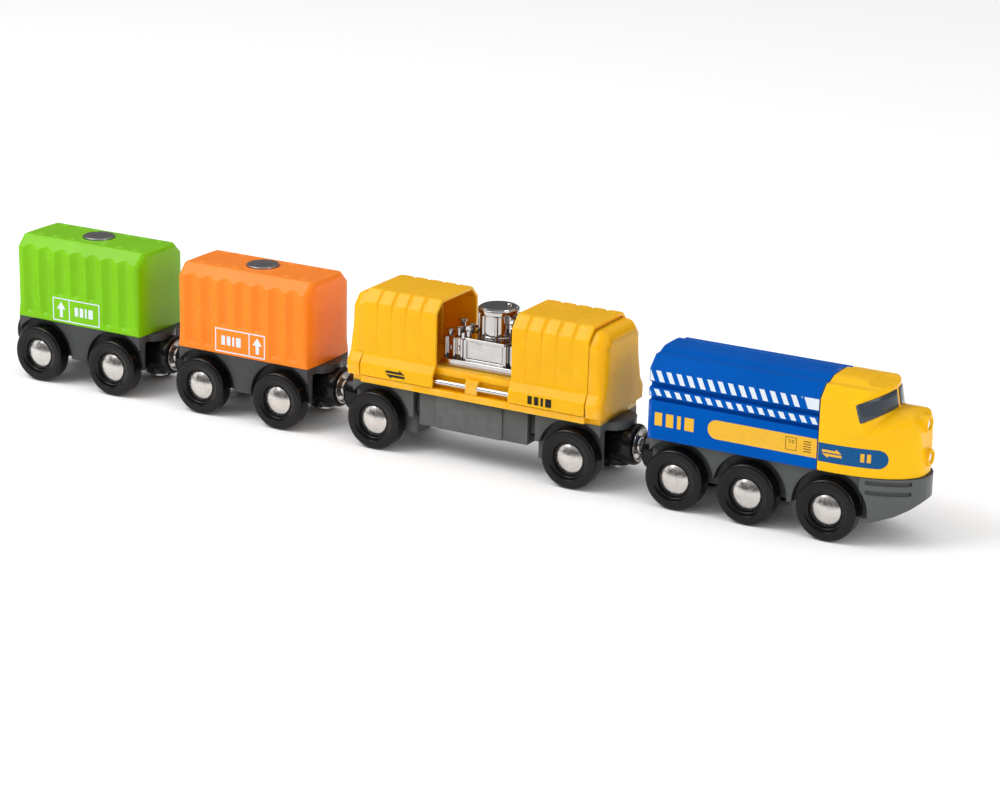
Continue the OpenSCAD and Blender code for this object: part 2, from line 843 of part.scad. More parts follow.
loco_chassis();
loco_pilot();
loco_body();
loco_cab();
cab_windows();
headlamp_lenses();
loco_screws();
axle(loco_x + front_base);  // loco_front_axle
wheel_pair(loco_x + front_base);  // loco_front_wheels
axle(loco_x);  // loco_middle_axle
wheel_pair(loco_x);  // loco_middle_wheels
axle(loco_x - rear_base);  // loco_rear_axle
wheel_pair(loco_x - rear_base);  // loco_rear_wheels
at_rear(loco_x, 2 * loco_tail) holder();  // loco_coupler_holder
at_rear(loco_x, 2 * loco_tail) magnet();  // loco_coupler_magnet
at_rear(loco_x, 2 * loco_tail) pin();  // loco_coupler_pin

long_chassis();  // cover_wagon_chassis
deck();  // cover_wagon_deck
translate([cover_wagon_x, 0, 0]) housing();  // front_housing
translate([cover_wagon_x, 0, 0]) mirror([1, 0, 0]) housing();  // rear_housing
translate([cover_wagon_x, 0, 0]) cover();  // front_cover
translate([cover_wagon_x, 0, 0]) mirror([1, 0, 0]) cover();  // rear_cover
slide_rods();
cargo_base();
cargo_tank();
cargo_pipework();
translate([cover_wagon_x, 0, 0]) both_ends() translate([screw_x, 0, 0])  // cover_wagon_screws
        screw(wagon_screw_z, wagon_screw_tip);
axle(cover_wagon_x + long_base / 2);  // cover_wagon_front_axle
wheel_pair(cover_wagon_x + long_base / 2);  // cover_wagon_front_wheels
axle(cover_wagon_x - long_base / 2);  // cover_wagon_rear_axle
wheel_pair(cover_wagon_x - long_base / 2);  // cover_wagon_rear_wheels
at_front(cover_wagon_x, long_len) holder();  // cover_wagon_front_holder
at_front(cover_wagon_x, long_len) magnet();  // cover_wagon_front_magnet
at_rear(cover_wagon_x, long_len) holder();  // cover_wagon_rear_holder
at_rear(cover_wagon_x, long_len) magnet();  // cover_wagon_rear_magnet
union() {  // cover_wagon_coupler_pins
    at_front(cover_wagon_x, long_len) pin();
    at_rear(cover_wagon_x, long_len) pin();
}

short_chassis(orange_x);  // orange_chassis
color([1, 0.5, 0.15]) container(orange_x);  // orange_container
lift_disc(orange_x);  // orange_lift_disc
axle(orange_x + short_base / 2);  // orange_front_axle
wheel_pair(orange_x + short_base / 2);  // orange_front_wheels
axle(orange_x - short_base / 2);  // orange_rear_axle
wheel_pair(orange_x - short_base / 2);  // orange_rear_wheels
at_front(orange_x, short_len) holder();  // orange_front_holder
at_front(orange_x, short_len) magnet();  // orange_front_magnet
at_rear(orange_x, short_len) holder();  // orange_rear_holder
at_rear(orange_x, short_len) magnet();  // orange_rear_magnet
union() {  // orange_coupler_pins
    at_front(orange_x, short_len) pin();
    at_rear(orange_x, short_len) pin();
}

short_chassis(green_x);  // green_chassis
color([0.48, 0.75, 0.1]) container(green_x);  // green_container
lift_disc(green_x);  // green_lift_disc
axle(green_x + short_base / 2);  // green_front_axle
wheel_pair(green_x + short_base / 2);  // green_front_wheels
axle(green_x - short_base / 2);  // green_rear_axle
wheel_pair(green_x - short_base / 2);  // green_rear_wheels
at_front(green_x, short_len) holder();  // green_front_holder
at_front(green_x, short_len) magnet();  // green_front_magnet
at_rear(green_x, short_len) holder();  // green_rear_holder
at_rear(green_x, short_len) magnet();  // green_rear_magnet
union() {  // green_coupler_pins
    at_front(green_x, short_len) pin();
    at_rear(green_x, short_len) pin();
}
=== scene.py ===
import math
from contextlib import contextmanager

import bmesh
import bpy
from mathutils import Matrix, Vector
from mathutils.geometry import tessellate_polygon


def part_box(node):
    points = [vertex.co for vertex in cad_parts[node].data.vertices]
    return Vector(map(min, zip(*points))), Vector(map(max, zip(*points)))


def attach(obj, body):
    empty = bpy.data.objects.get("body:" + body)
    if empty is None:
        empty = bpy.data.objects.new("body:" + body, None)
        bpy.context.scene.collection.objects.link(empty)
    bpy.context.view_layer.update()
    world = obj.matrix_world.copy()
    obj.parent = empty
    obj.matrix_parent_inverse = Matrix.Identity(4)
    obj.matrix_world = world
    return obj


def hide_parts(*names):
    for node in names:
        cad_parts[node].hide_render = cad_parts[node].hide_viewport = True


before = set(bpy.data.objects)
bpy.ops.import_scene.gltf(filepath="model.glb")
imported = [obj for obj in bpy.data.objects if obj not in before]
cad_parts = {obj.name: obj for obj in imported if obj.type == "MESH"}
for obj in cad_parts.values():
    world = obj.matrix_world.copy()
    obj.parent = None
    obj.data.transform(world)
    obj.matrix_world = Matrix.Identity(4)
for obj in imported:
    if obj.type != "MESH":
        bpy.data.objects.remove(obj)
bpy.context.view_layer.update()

# A push-along freight train: locomotive, wagon with two sliding covers over a plated machine,
# and two wagons with lift-off containers. Shapes are written in millimetres in the CAD frame.

MM = 0.001
SHARP_ANGLE = 38
WELD_GAP = 0.002 * MM
SIDES = ((-1, "right"), (1, "left"))
ENDS = (("front", 1), ("rear", -1))


def middle_x(node):
    """Place along the train of the middle of a CAD node, in millimetres."""
    low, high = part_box(node)
    return (low.x + high.x) / 2 / MM


LOCO_X = middle_x("loco_middle_axle")
COVER_X = middle_x("cover_wagon_deck")
ORANGE_X = middle_x("orange_container")
GREEN_X = middle_x("green_container")


def add_object(name, data):
    made = bpy.data.objects.new(name, data)
    bpy.context.scene.collection.objects.link(made)
    return made


# Camera, floor and light, in metres --------------------------------------------------------

CAMERA_AZIMUTH = math.radians(29.02)
CAMERA_ELEVATION = math.radians(17.79)
CAMERA_ROLL = math.radians(1.2)
CAMERA_PLACE = (LOCO_X * MM + 0.3313, -0.7722, 0.3028)
LENS = 100.9
LENS_SHIFT = 0.001
FLOOR_REACH = 6


def add_camera():
    """A long lens from the front right, turned a little about its own axis."""
    azimuth, elevation, roll = CAMERA_AZIMUTH, CAMERA_ELEVATION, CAMERA_ROLL
    back = Vector((
        math.sin(azimuth) * math.cos(elevation),
        -math.cos(azimuth) * math.cos(elevation),
        math.sin(elevation),
    ))
    level = Vector((math.cos(azimuth), math.sin(azimuth), 0))
    rise = back.cross(level)
    right = math.cos(roll) * level + math.sin(roll) * rise
    up = math.cos(roll) * rise - math.sin(roll) * level
    data = bpy.data.cameras.new("camera")
    data.sensor_width = 36
    data.lens = LENS
    data.shift_x = LENS_SHIFT
    data.shift_y = LENS_SHIFT
    data.clip_start = 0.05
    data.clip_end = 50
    camera = add_object("camera", data)
    turn = Matrix((right, up, back)).transposed().to_4x4()
    camera.matrix_world = Matrix.Translation(CAMERA_PLACE) @ turn
    bpy.context.scene.camera = camera


def area_light(name, place, target, size, power):
    data = bpy.data.lights.new(name, "AREA")
    data.shape = "RECTANGLE"
    data.size, data.size_y = size
    data.energy = power
    lamp = add_object(name, data)
    lamp.location = place
    aim = Vector(target) - Vector(place)
    lamp.rotation_mode = "QUATERNION"
    lamp.rotation_quaternion = aim.to_track_quat("-Z", "Y")


def add_node(tree, kind, **inputs):
    """A new shader node; each input is a value or a socket, an underscore standing for a space."""
    node = tree.nodes.new("ShaderNode" + kind)
    for key, value in inputs.items():
        socket = node.inputs[key.replace("_", " ")]
        if isinstance(value, bpy.types.NodeSocket):
            tree.links.new(value, socket)
        else:
            socket.default_value = value
    return node


def mix_shaders(tree, factor, first, second):
    node = add_node(tree, "MixShader", Fac=factor)
    tree.links.new(first.outputs[0], node.inputs[1])
    tree.links.new(second.outputs[0], node.inputs[2])
    return node


def add_world():
    """White behind everything, softer white as diffuse light, a dim horizon in reflections."""
    world = bpy.data.worlds.new("studio")
    bpy.context.scene.world = world
    world.use_nodes = True
    tree = world.node_tree
    tree.nodes.clear()
    paths = add_node(tree, "LightPath")
    place = add_node(tree, "TexCoord")
    split = add_node(tree, "SeparateXYZ", Vector=place.outputs["Generated"])
    ramp = add_node(tree, "ValToRGB", Fac=split.outputs["Z"])
    levels = ramp.color_ramp.elements
    levels[0].position, levels[0].color = 0.0, (0.55, 0.55, 0.56, 1)
    levels[1].position, levels[1].color = 1.0, (1, 1, 1, 1)
    for position, grey in ((0.08, 0.1), (0.36, 0.14), (0.6, 0.55)):
        step = levels.new(position)
        step.color = (grey, grey, grey * 1.03, 1)
    mirror_sky = add_node(tree, "Background", Color=ramp.outputs["Color"])
    sky = add_node(tree, "Background", Color=(1, 1, 1, 1), Strength=0.58)
    seen = add_node(tree, "Background", Color=(1, 1, 1, 1))
    indirect = mix_shaders(tree, paths.outputs["Is Glossy Ray"], sky, mirror_sky)
    direct = mix_shaders(tree, paths.outputs["Is Camera Ray"], indirect, seen)
    add_node(tree, "OutputWorld", Surface=direct.outputs[0])


def add_floor():
    """A wide sheet of pale matt paper."""
    mesh = bpy.data.meshes.new("floor")
    reach = FLOOR_REACH
    corners = [(-reach, -reach, 0), (reach, -reach, 0), (reach, reach, 0), (-reach, reach, 0)]
    mesh.from_pydata(corners, [], [(0, 1, 2, 3)])
    floor = add_object("floor", mesh)
    paper = Shader("floor_paper")
    paper.set(Base_Color=(0.95, 0.95, 0.955, 1), Roughness=0.9, Specular_IOR_Level=0.1)
    mesh.materials.append(paper.material)
    return floor


def floor_wash(floor):
    """A broad soft light for the floor alone, so that it stays white out to its far corners."""
    data = bpy.data.lights.new("floor_wash", "SUN")
    data.energy = 0.85
    data.angle = math.radians(110)
    lamp = add_object("floor_wash", data)
    lit = bpy.data.collections.new("lit_by_floor_wash")
    lit.objects.link(floor)
    lamp.light_linking.receiver_collection = lit


def add_light(floor):
    """A key from the upper left and front, a fill from each end, and the world."""
    add_world()
    floor_wash(floor)
    area_light("key_softbox", (-0.48, -0.4, 0.74), (0, 0, 0), (0.66, 0.56), 5.0)
    area_light("left_softbox", (-1.5, -0.75, 0.5), (0, 0, 0.03), (0.7, 0.7), 1.6)
    area_light("right_softbox", (1.5, -0.3, 0.6), (0.1, 0, 0.03), (0.8, 0.8), 5.2)
    view = bpy.context.scene.view_settings
    view.view_transform = "Standard"
    view.look = "None"
    view.exposure = 0.0


# Materials --------------------------------------------------------------------------------

def linear(red, green, blue):
    """An sRGB colour in 0 to 255 as linear values."""
    def one(value):
        value /= 255
        return value / 12.92 if value <= 0.04045 else ((value + 0.055) / 1.055) ** 2.4
    return one(red), one(green), one(blue), 1


class Shader:
    """A material under construction, with its noise fields in object space."""

    def __init__(self, name):
        self.material = bpy.data.materials.new(name)
        self.material.use_nodes = True
        self.tree = self.material.node_tree
        self.bsdf = self.tree.nodes["Principled BSDF"]
        self.place = self.tree.nodes.new("ShaderNodeTexCoord").outputs["Object"]

    def link(self, source, target):
        self.tree.links.new(source, target)

    def node(self, kind, **inputs):
        return add_node(self.tree, kind, **inputs)

    def noise(self, scale, detail=3, stretch=(1, 1, 1)):
        """Noise whose features are about 1/scale metres across."""
        mapping = self.node("Mapping", Scale=stretch, Vector=self.place)
        place = mapping.outputs["Vector"]
        return self.node("TexNoise", Scale=scale, Detail=detail, Vector=place).outputs["Fac"]

    def ranged(self, source, low, high, start=0.3, end=0.7):
        node = self.node("MapRange", From_Min=start, From_Max=end, To_Min=low, To_Max=high, Value=source)
        return node.outputs["Result"]

    def mixed(self, factor, first, second):
        """Colour mix; each of first and second is a colour or a socket."""
        node = self.node("Mix")
        node.data_type = "RGBA"
        self.link(factor, node.inputs["Factor"])
        for value, socket in ((first, node.inputs[6]), (second, node.inputs[7])):
            if isinstance(value, tuple):
                socket.default_value = value
            else:
                self.link(value, socket)
        return node.outputs[2]

    def worn_edges(self):
        """0 on flat and hollow places, rising to 1 along sharp ridges."""
        shape = self.node("NewGeometry")
        return self.ranged(shape.outputs["Pointiness"], 0, 1, 0.52, 0.6)

    def crevices(self, reach, darkest):
        """1 in the open, falling to darkest in corners narrower than reach."""
        node = self.node("AmbientOcclusion", Distance=reach)
        node.samples = 6
        return self.ranged(node.outputs["AO"], darkest, 1, 0.2, 0.9)

    def multiplied(self, first, second):
        node = self.node("Math")
        node.operation = "MULTIPLY"
        self.link(first, node.inputs[0])
        self.link(second, node.inputs[1])
        return node.outputs[0]

    def bump(self, height, strength, distance):
        node = self.node("Bump", Strength=strength, Distance=distance, Height=height)
        self.link(node.outputs["Normal"], self.bsdf.inputs["Normal"])

    def set(self, **values):
        for key, value in values.items():
            self.bsdf.inputs[key.replace("_", " ")].default_value = value


def scaled(colour, factor):
    return tuple(min(1.0, c * factor) for c in colour[:3]) + (1,)


def plastic(name, colour, rough=(0.2, 0.3), shine=0.15, grain=0.16, wear=0.3, glow=0.0, painted_crevice_shade=0.0):
    """Moulded plastic: cloudy pigment, fine mould texture, rubbed edges and faint handling marks, with
    painted shade darkening its corners and crevices where asked.
    """
    s = Shader(name)
    clouds = s.ranged(s.noise(60, 3), 0, 1)
    body = s.mixed(clouds, scaled(colour, 0.94), scaled(colour, 1.04))
    rubbed = s.multiplied(s.worn_edges(), s.ranged(s.noise(300, 2), 0.0, wear))
    pale = tuple(c + (1 - c) * 0.3 for c in colour[:3]) + (1,)
    tone = s.mixed(rubbed, body, pale)
    # Painted shade: the colour is darkened towards black in corners and crevices, where shade falls.
    if painted_crevice_shade:
        tone = s.mixed(s.crevices(0.009, 1 - painted_crevice_shade), (0, 0, 0, 1), tone)
    s.link(tone, s.bsdf.inputs["Base Color"])
    s.link(s.ranged(s.noise(90, 3), rough[0], rough[1]), s.bsdf.inputs["Roughness"])
    s.bump(s.noise(620, 2), grain, 0.000006)
    s.set(Specular_IOR_Level=shine, Subsurface_Weight=glow, Subsurface_Scale=0.003,
          Subsurface_Radius=(1, 0.45, 0.1))
    return s.material


def metal(name, colour, rough, ripple, ripple_scale, stretch=(1, 1, 1)):
    """Plated or bare metal: cloudy tarnish, uneven polish and a slight ripple."""
    s = Shader(name)
    clouds = s.ranged(s.noise(260, 4, stretch), 0, 1)
    s.link(s.mixed(clouds, scaled(colour, 0.85), colour), s.bsdf.inputs["Base Color"])
    streaks = s.noise(900, 4, stretch)
    s.link(s.ranged(streaks, rough[0], rough[1]), s.bsdf.inputs["Roughness"])
    s.bump(s.noise(ripple_scale, 2, stretch), ripple, 0.00003)
    s.set(Metallic=1.0)
    return s.material


def print_ink(name, colour):
    """Pad-printed ink: a little uneven, with pinholes where the plastic shows as a darker speck."""
    s = Shader(name)
    thin = s.ranged(s.noise(700, 3), 0, 0.3, 0.5, 0.75)
    s.link(s.mixed(thin, colour, scaled(colour, 0.8)), s.bsdf.inputs["Base Color"])
    s.link(s.ranged(s.noise(300, 3), 0.36, 0.5), s.bsdf.inputs["Roughness"])
    s.bump(s.noise(900, 2), 0.2, 0.000004)
    s.set(Specular_IOR_Level=0.2)
    return s.material


def make_materials():
    """Every material by a short name: plastics, metals, then inks."""
    # Both greys carry painted shade in their corners and crevices.
    grey = {"shine": 0.15, "wear": 0.12, "painted_crevice_shade": 0.7}
    return {
        "green": plastic("green_plastic", linear(124, 196, 0), shine=0.2),
        "orange": plastic("orange_plastic", linear(255, 136, 34), shine=0.18),
        "yellow": plastic("wagon_yellow", linear(252, 182, 0), shine=0.2, glow=0.4),
        "cab": plastic("cab_yellow", linear(255, 192, 0), (0.14, 0.22), shine=0.2),
        "blue": plastic("body_blue", linear(0, 86, 178), (0.22, 0.32), shine=0.02),
        "grey": plastic("loco_grey", linear(92, 95, 94), (0.26, 0.38), **grey),
        "dark_grey": plastic("wagon_grey", linear(72, 73, 74), (0.3, 0.42), **grey),
        "black": plastic("wheel_black", linear(12, 11, 12), (0.16, 0.26), shine=0.25, wear=0.12),
        "window": plastic("window_grey", linear(60, 68, 76), (0.08, 0.14), shine=0.4, wear=0.05),
        "nickel": metal("nickel_caps", (0.66, 0.63, 0.6, 1), (0.16, 0.32), 0.9, 700),
        "chrome": metal("mirror_plating", (0.56, 0.545, 0.535, 1), (0.04, 0.09), 0.2, 420),
        "magnet": metal("plated_magnet", (0.6, 0.57, 0.54, 1), (0.14, 0.26), 0.3, 900),
        "steel": metal("disc_steel", (0.4, 0.39, 0.39, 1), (0.24, 0.36), 0.25, 1200, (1, 8, 1)),
        "rod": metal("rod_steel", (0.62, 0.61, 0.61, 1), (0.1, 0.2), 0.15, 800, (8, 1, 1)),
        "lens": metal("lamp_silver", (0.86, 0.87, 0.88, 1), (0.08, 0.14), 0.2, 1100),
        "screw": metal("screw_steel", (0.56, 0.55, 0.53, 1), (0.22, 0.34), 0.3, 1300),
        "white_ink": print_ink("white_ink", linear(222, 232, 240)),
        "yellow_ink": print_ink("yellow_ink", linear(240, 184, 52)),
        "blue_ink": print_ink("blue_ink", linear(0, 82, 138)),
        "black_ink": print_ink("black_ink", linear(30, 26, 20)),
    }


# Mesh tools -------------------------------------------------------------------------------

def arc(cx, cy, radius, start, end, steps):
    turn = [math.radians(start + (end - start) * i / steps) for i in range(steps + 1)]
    return [(cx + radius * math.cos(t), cy + radius * math.sin(t)) for t in turn]


def circle(cx, cy, radius, steps=48):
    return arc(cx, cy, radius, 0, 360, steps)[:-1]


def fillet(points, radii, steps=4, closed=True):
    """The outline with each corner turned into an arc; radii is one number or one per corner."""
    count = len(points)
    if not isinstance(radii, (list, tuple)):
        radii = [radii] * count
    outline = []
    for i, (point, radius) in enumerate(zip(points, radii)):
        if radius <= 0 or (not closed and i in (0, count - 1)):
            outline.append(tuple(point))
            continue
        here = Vector(point)
        before = Vector(points[i - 1]) - here
        after = Vector(points[(i + 1) % count]) - here
        half = before.angle(after) / 2
        if half > math.radians(89):
            outline.append(tuple(point))
            continue
        cut = min(radius / math.tan(half), 0.48 * before.length, 0.48 * after.length)
        first = here + before.normalized() * cut
        last = here + after.normalized() * cut
        for k in range(steps + 1):
            t = k / steps
            bend = (1 - t) * (1 - t) * first + 2 * t * (1 - t) * here + t * t * last
            outline.append(tuple(bend))
    return outline


def rect(x0, x1, z0, z1):
    return [(x0, z0), (x1, z0), (x1, z1), (x0, z1)]


def flipped(points):
    """The same outline on the other side of the middle plane, run the other way."""
    return [(-y, z) for y, z in reversed(points)]


def even(start, end, count):
    return [start + (end - start) * i / count for i in range(count + 1)]


def normals_of(outline, closed=True):
    """Outward unit normals of an outline that runs anticlockwise."""
    count = len(outline)
    result = []
    for i in range(count):
        before = outline[i - 1] if closed or i else outline[i]
        after = outline[(i + 1) % count] if closed or i < count - 1 else outline[i]
        dx, dy = after[0] - before[0], after[1] - before[1]
        length = math.hypot(dx, dy) or 1
        result.append((dy / length, -dx / length))
    return result


def inset(outline, depth):
    return [(x - nx * depth, y - ny * depth) for (x, y), (nx, ny) in zip(outline, normals_of(outline))]


def dense(outline, step):
    """The outline with its long straight runs cut into parts of about step."""
    points = []
    for a, b in zip(outline, outline[1:]):
        parts = max(1, int(math.hypot(b[0] - a[0], b[1] - a[1]) / step))
        points += [(a[0] + (b[0] - a[0]) * i / parts, a[1] + (b[1] - a[1]) * i / parts)
                   for i in range(parts)]
    return points + [outline[-1]]


AXES = {
    "x": lambda a, u, v: (a, u, v),
    "y": lambda a, u, v: (u, a, v),
    "z": lambda a, u, v: (u, v, a),
}


@contextmanager
def edited(mesh):
    """A mesh open for changes, written back at the end."""
    bm = bmesh.new()
    bm.from_mesh(mesh)
    yield bm
    bm.to_mesh(mesh)
    bm.free()


class Shape:
    """Faces of one piece, in millimetres."""

    def __init__(self):
        self.points = []
        self.faces = []

    def loft(self, rings, closed=True, start=True, end=True, bridged=False):
        """Faces between rings of points, with a face over each end if asked.

        A ring that goes out along one wall and back along another is bridged, not covered over.
        """
        base, size = len(self.points), len(rings[0])
        for ring in rings:
            self.points.extend(ring)
        span = size if closed else size - 1
        for k in range(len(rings) - 1):
            low, high = base + k * size, base + (k + 1) * size
            for i in range(span):
                j = (i + 1) % size
                self.faces.append((low + i, low + j, high + j, high + i))
        last = base + (len(rings) - 1) * size
        if bridged:
            for i in range(size // 2 - 1):
                far = size - 1 - i
                self.faces.append((base + i, base + far, base + far - 1, base + i + 1))
                self.faces.append((last + i, last + i + 1, last + far - 1, last + far))
            return self
        if start:
            self.faces.append(tuple(range(base + size - 1, base - 1, -1)))
        if end:
            self.faces.append(tuple(range(last, last + size)))
        return self

    def prism(self, outline, low, high, edge=0.25, axis="z", bridged=False, parts=1):
        """An outline pushed along an axis, with its edges rounded; parts cuts its length up."""
        put = AXES[axis]
        steps = 3
        edge = min(edge, (high - low) / 2.01)
        turns = [math.radians(90 * k / steps) for k in range(steps, -1, -1)]
        first = [(low + edge * (1 - math.sin(t)), edge * (1 - math.cos(t))) for t in turns]
        middle = [(at, 0.0) for at in even(low + edge, high - edge, parts)[1:-1]]
        last = [(low + high - at, depth) for at, depth in reversed(first)]
        rings = []
        for at, depth in first + middle + last:
            ring = inset(outline, depth) if depth else outline
            rings.append([put(at, u, v) for u, v in ring])
        return self.loft(rings, bridged=bridged)

    def block(self, x, y, z, edge=0.25):
        """A box between three pairs of limits, all its edges rounded."""
        return self.prism(fillet(rect(*x, *y), edge * 1.2, 3), z[0], z[1], edge)

    def turned(self, profile, centre, axis="z", steps=64):
        """A profile of (radius, height) turned about an axis through centre."""
        put = AXES[axis]
        rings = []
        for radius, height in profile:
            ring = [put(height, u, v) for u, v in circle(0, 0, max(radius, 1e-4), steps)]
            rings.append([tuple(Vector(p) + Vector(centre)) for p in ring])
        return self.loft(rings, start=False, end=False)

    def tube(self, path, radius, steps=16):
        """A round tube along a path, its ends closed."""
        line = [Vector(p) for p in path]
        rings = []
        side = None
        for i, here in enumerate(line):
            ahead = (line[min(i + 1, len(line) - 1)] - line[max(i - 1, 0)]).normalized()
            if side is None:
                side = ahead.orthogonal().normalized()
            side = (side - ahead * side.dot(ahead)).normalized()
            other = ahead.cross(side)
            ring = circle(0, 0, radius, steps)
            rings.append([tuple(here + side * u + other * v) for u, v in ring])
        return self.loft(rings)

    def plate(self, outer, holes=()):
        """A flat face with holes in it."""
        base = len(self.points)
        loops = [[Vector(p) for p in loop] for loop in (outer, *holes)]
        for loop in loops:
            self.points.extend(tuple(p) for p in loop)
        for triangle in tessellate_polygon(loops):
            self.faces.append(tuple(base + i for i in triangle))
        return self

    def piece(self, name, body, material, replaces=(), slot=None, sharp=SHARP_ANGLE):
        """Welds the faces into one mesh with smooth shading, creased over the sharp angle."""
        mesh = bpy.data.meshes.new(name)
        with edited(mesh) as bm:
            verts = [bm.verts.new(Vector(p) * MM) for p in self.points]
            for face in self.faces:
                try:
                    bm.faces.new([verts[i] for i in face])
                except ValueError:
                    continue
            bmesh.ops.remove_doubles(bm, verts=bm.verts, dist=WELD_GAP)
            bmesh.ops.recalc_face_normals(bm, faces=bm.faces)
            for edge in bm.edges:
                if len(edge.link_faces) == 2 and edge.calc_face_angle(0) > math.radians(sharp):
                    edge.smooth = False
            for face in bm.faces:
                face.smooth = True
        return finish_piece(mesh, name, body, material, replaces)


def finish_piece(mesh, name, body, material, replaces=()):
    """Makes the mesh a piece that rides its body in place of the CAD nodes it replaces."""
    piece = add_object(name, mesh)
    mesh.materials.clear()
    mesh.materials.append(M[material])
    weighted = piece.modifiers.new("weighted_normals", "WEIGHTED_NORMAL")
    weighted.keep_sharp = True
    weighted.weight = 60
    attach(piece, body)
    if replaces:
        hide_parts(*replaces)
    return piece


def dress_node(node, material, bevel):
    """Keeps a CAD node, rounds its edges and gives it its material."""
    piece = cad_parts[node]
    piece.data.materials.clear()
    piece.data.materials.append(M[material])
    for face in piece.data.polygons:
        face.use_smooth = True
    weld = piece.modifiers.new("weld", "WELD")
    weld.merge_threshold = WELD_GAP
    round_edges = piece.modifiers.new("round_edges", "BEVEL")
    round_edges.width = bevel * MM
    round_edges.segments = 2
    round_edges.limit_method = "ANGLE"
    round_edges.angle_limit = math.radians(35)
    round_edges.harden_normals = True


def smoothed_copy(node, material, voxel, passes, softer=()):
    """A copy of a CAD node remeshed finely and relaxed, so that every edge flows like a moulding.

    Each entry of softer is a box, by its corners from the locomotive's middle, and extra passes.
    """
    name = node + "_moulded"
    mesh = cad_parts[node].data.copy()
    with edited(mesh) as bm:
        bmesh.ops.remove_doubles(bm, verts=bm.verts, dist=WELD_GAP)
    work = add_object(name + "_work", mesh)
    remesh = work.modifiers.new("remesh", "REMESH")
    remesh.mode = "VOXEL"
    remesh.voxel_size = voxel * MM
    relax = work.modifiers.new("relax", "SMOOTH")
    relax.factor = 0.5
    relax.iterations = passes
    bpy.context.view_layer.update()
    result = work.evaluated_get(bpy.context.evaluated_depsgraph_get())
    shaped = bpy.data.meshes.new_from_object(result)
    bpy.data.objects.remove(work)
    shaped.name = name
    every_axis = {"use_axis_x": True, "use_axis_y": True, "use_axis_z": True}
    with edited(shaped) as bm:
        for low, high, rounds in softer:
            near = [v for v in bm.verts if all(a * MM < c < b * MM for a, c, b in zip(
                low, (v.co.x - LOCO_X * MM, abs(v.co.y), v.co.z), high))]
            for _ in range(rounds):
                bmesh.ops.smooth_vert(bm, verts=near, factor=0.5, **every_axis)
    for face in shaped.polygons:
        face.use_smooth = True
    return finish_piece(shaped, name, "locomotive", material, (node,))


def flat(reach):
    """The surface of two flat sides, for prints."""
    return lambda side, x, z: reach


def decal(name, side, body, ink, shapes, surface, step=90):
    """Prints (x, z) polygons on one side at y = surface(side, x, z), cut up every step."""
    mesh = bpy.data.meshes.new(name)
    with edited(mesh) as bm:
        for shape in shapes:
            bm.faces.new([bm.verts.new((x, 0, z)) for x, z in shape])
        bmesh.ops.triangulate(bm, faces=bm.faces)
        xs = [v.co.x for v in bm.verts]
        cut = min(xs) + step
        while cut < max(xs):
            geometry = list(bm.verts) + list(bm.edges) + list(bm.faces)
            bmesh.ops.bisect_plane(bm, geom=geometry, plane_co=(cut, 0, 0), plane_no=(1, 0, 0))
            cut += step
        for vert in bm.verts:
            x, z = vert.co.x, vert.co.z
            vert.co = Vector((x, side * surface(side, x, z), z)) * MM
        for face in bm.faces:
            face.smooth = True
            face.normal_update()
            if face.normal.y * side < 0:
                face.normal_flip()
    finish_piece(mesh, name, body, ink)


def print_sides(*prints):
    """Lays every print on the right side and then on the left; rest is what decal() takes."""
    for side, side_name in SIDES:
        for name, *rest in prints:
            decal(f"{name}_{side_name}", side, *rest)


add_camera()
add_light(add_floor())
M = make_materials()


# Running gear -----------------------------------------------------------------------------

WHEEL_OUT = 16.3
WHEEL_IN = 10.8
WHEEL_RADIUS = 10
CAP_REACH = 16.5
CAP_RADIUS = 4.8
CAP_EDGE = 14.85
COUPLER_HEIGHT = 13.7


def wheelset(tag, x):
    """Two black wheels and their axle with its domed caps, turning as one."""
    body = tag + "_wheelset"
    outer = arc(WHEEL_RADIUS - 1, WHEEL_OUT - 1, 1, 0, 90, 6)
    inner = arc(WHEEL_RADIUS - 1, WHEEL_IN + 1, 1, -90, 0, 6)
    back = [(1.6, WHEEL_IN + 1.4), (5.2, WHEEL_IN + 1.4), (5.6, WHEEL_IN + 1.1), (5.9, WHEEL_IN)]
    face = [(8.6, WHEEL_OUT), (7.35, WHEEL_OUT - 0.02), (7.15, WHEEL_OUT - 0.12), (6.95, WHEEL_OUT - 0.3)]
    face += [(6.3, WHEEL_OUT - 0.42), (6.0, WHEEL_OUT - 0.5), (5.8, WHEEL_OUT - 0.75)]
    hollow = [(5.7, WHEEL_OUT - 1.35), (5.55, WHEEL_OUT - 1.5), (1.6, WHEEL_OUT - 1.5)]
    profile = back + inner + outer + face + hollow
    wheels = Shape()
    for side in (-1, 1):
        wheels.turned([(r, side * y) for r, y in profile], (x, 0, WHEEL_RADIUS), "y", 96)
    wheels.piece(tag + "_wheels_moulded", body, "black", (tag + "_wheels",), "wheel_black")
    axle = Shape()
    rise = CAP_REACH - CAP_EDGE - 0.25
    dome_r = (CAP_RADIUS ** 2 + rise ** 2) / (2 * rise)
    angle = math.degrees(math.asin(CAP_RADIUS / dome_r))
    dome = arc(0, CAP_REACH - dome_r, dome_r, 90 - angle, 90, 12)
    neck = [(1.5, 0), (1.5, CAP_EDGE), (CAP_RADIUS - 0.15, CAP_EDGE), (CAP_RADIUS, CAP_EDGE + 0.12)]
    for side in (-1, 1):
        profile = [(r, side * y) for r, y in neck + dome]
        axle.turned(profile, (x, 0, WHEEL_RADIUS), "y", 64)
    axle.piece(tag + "_axle_capped", body, "nickel", (tag + "_axle",), "nickel")


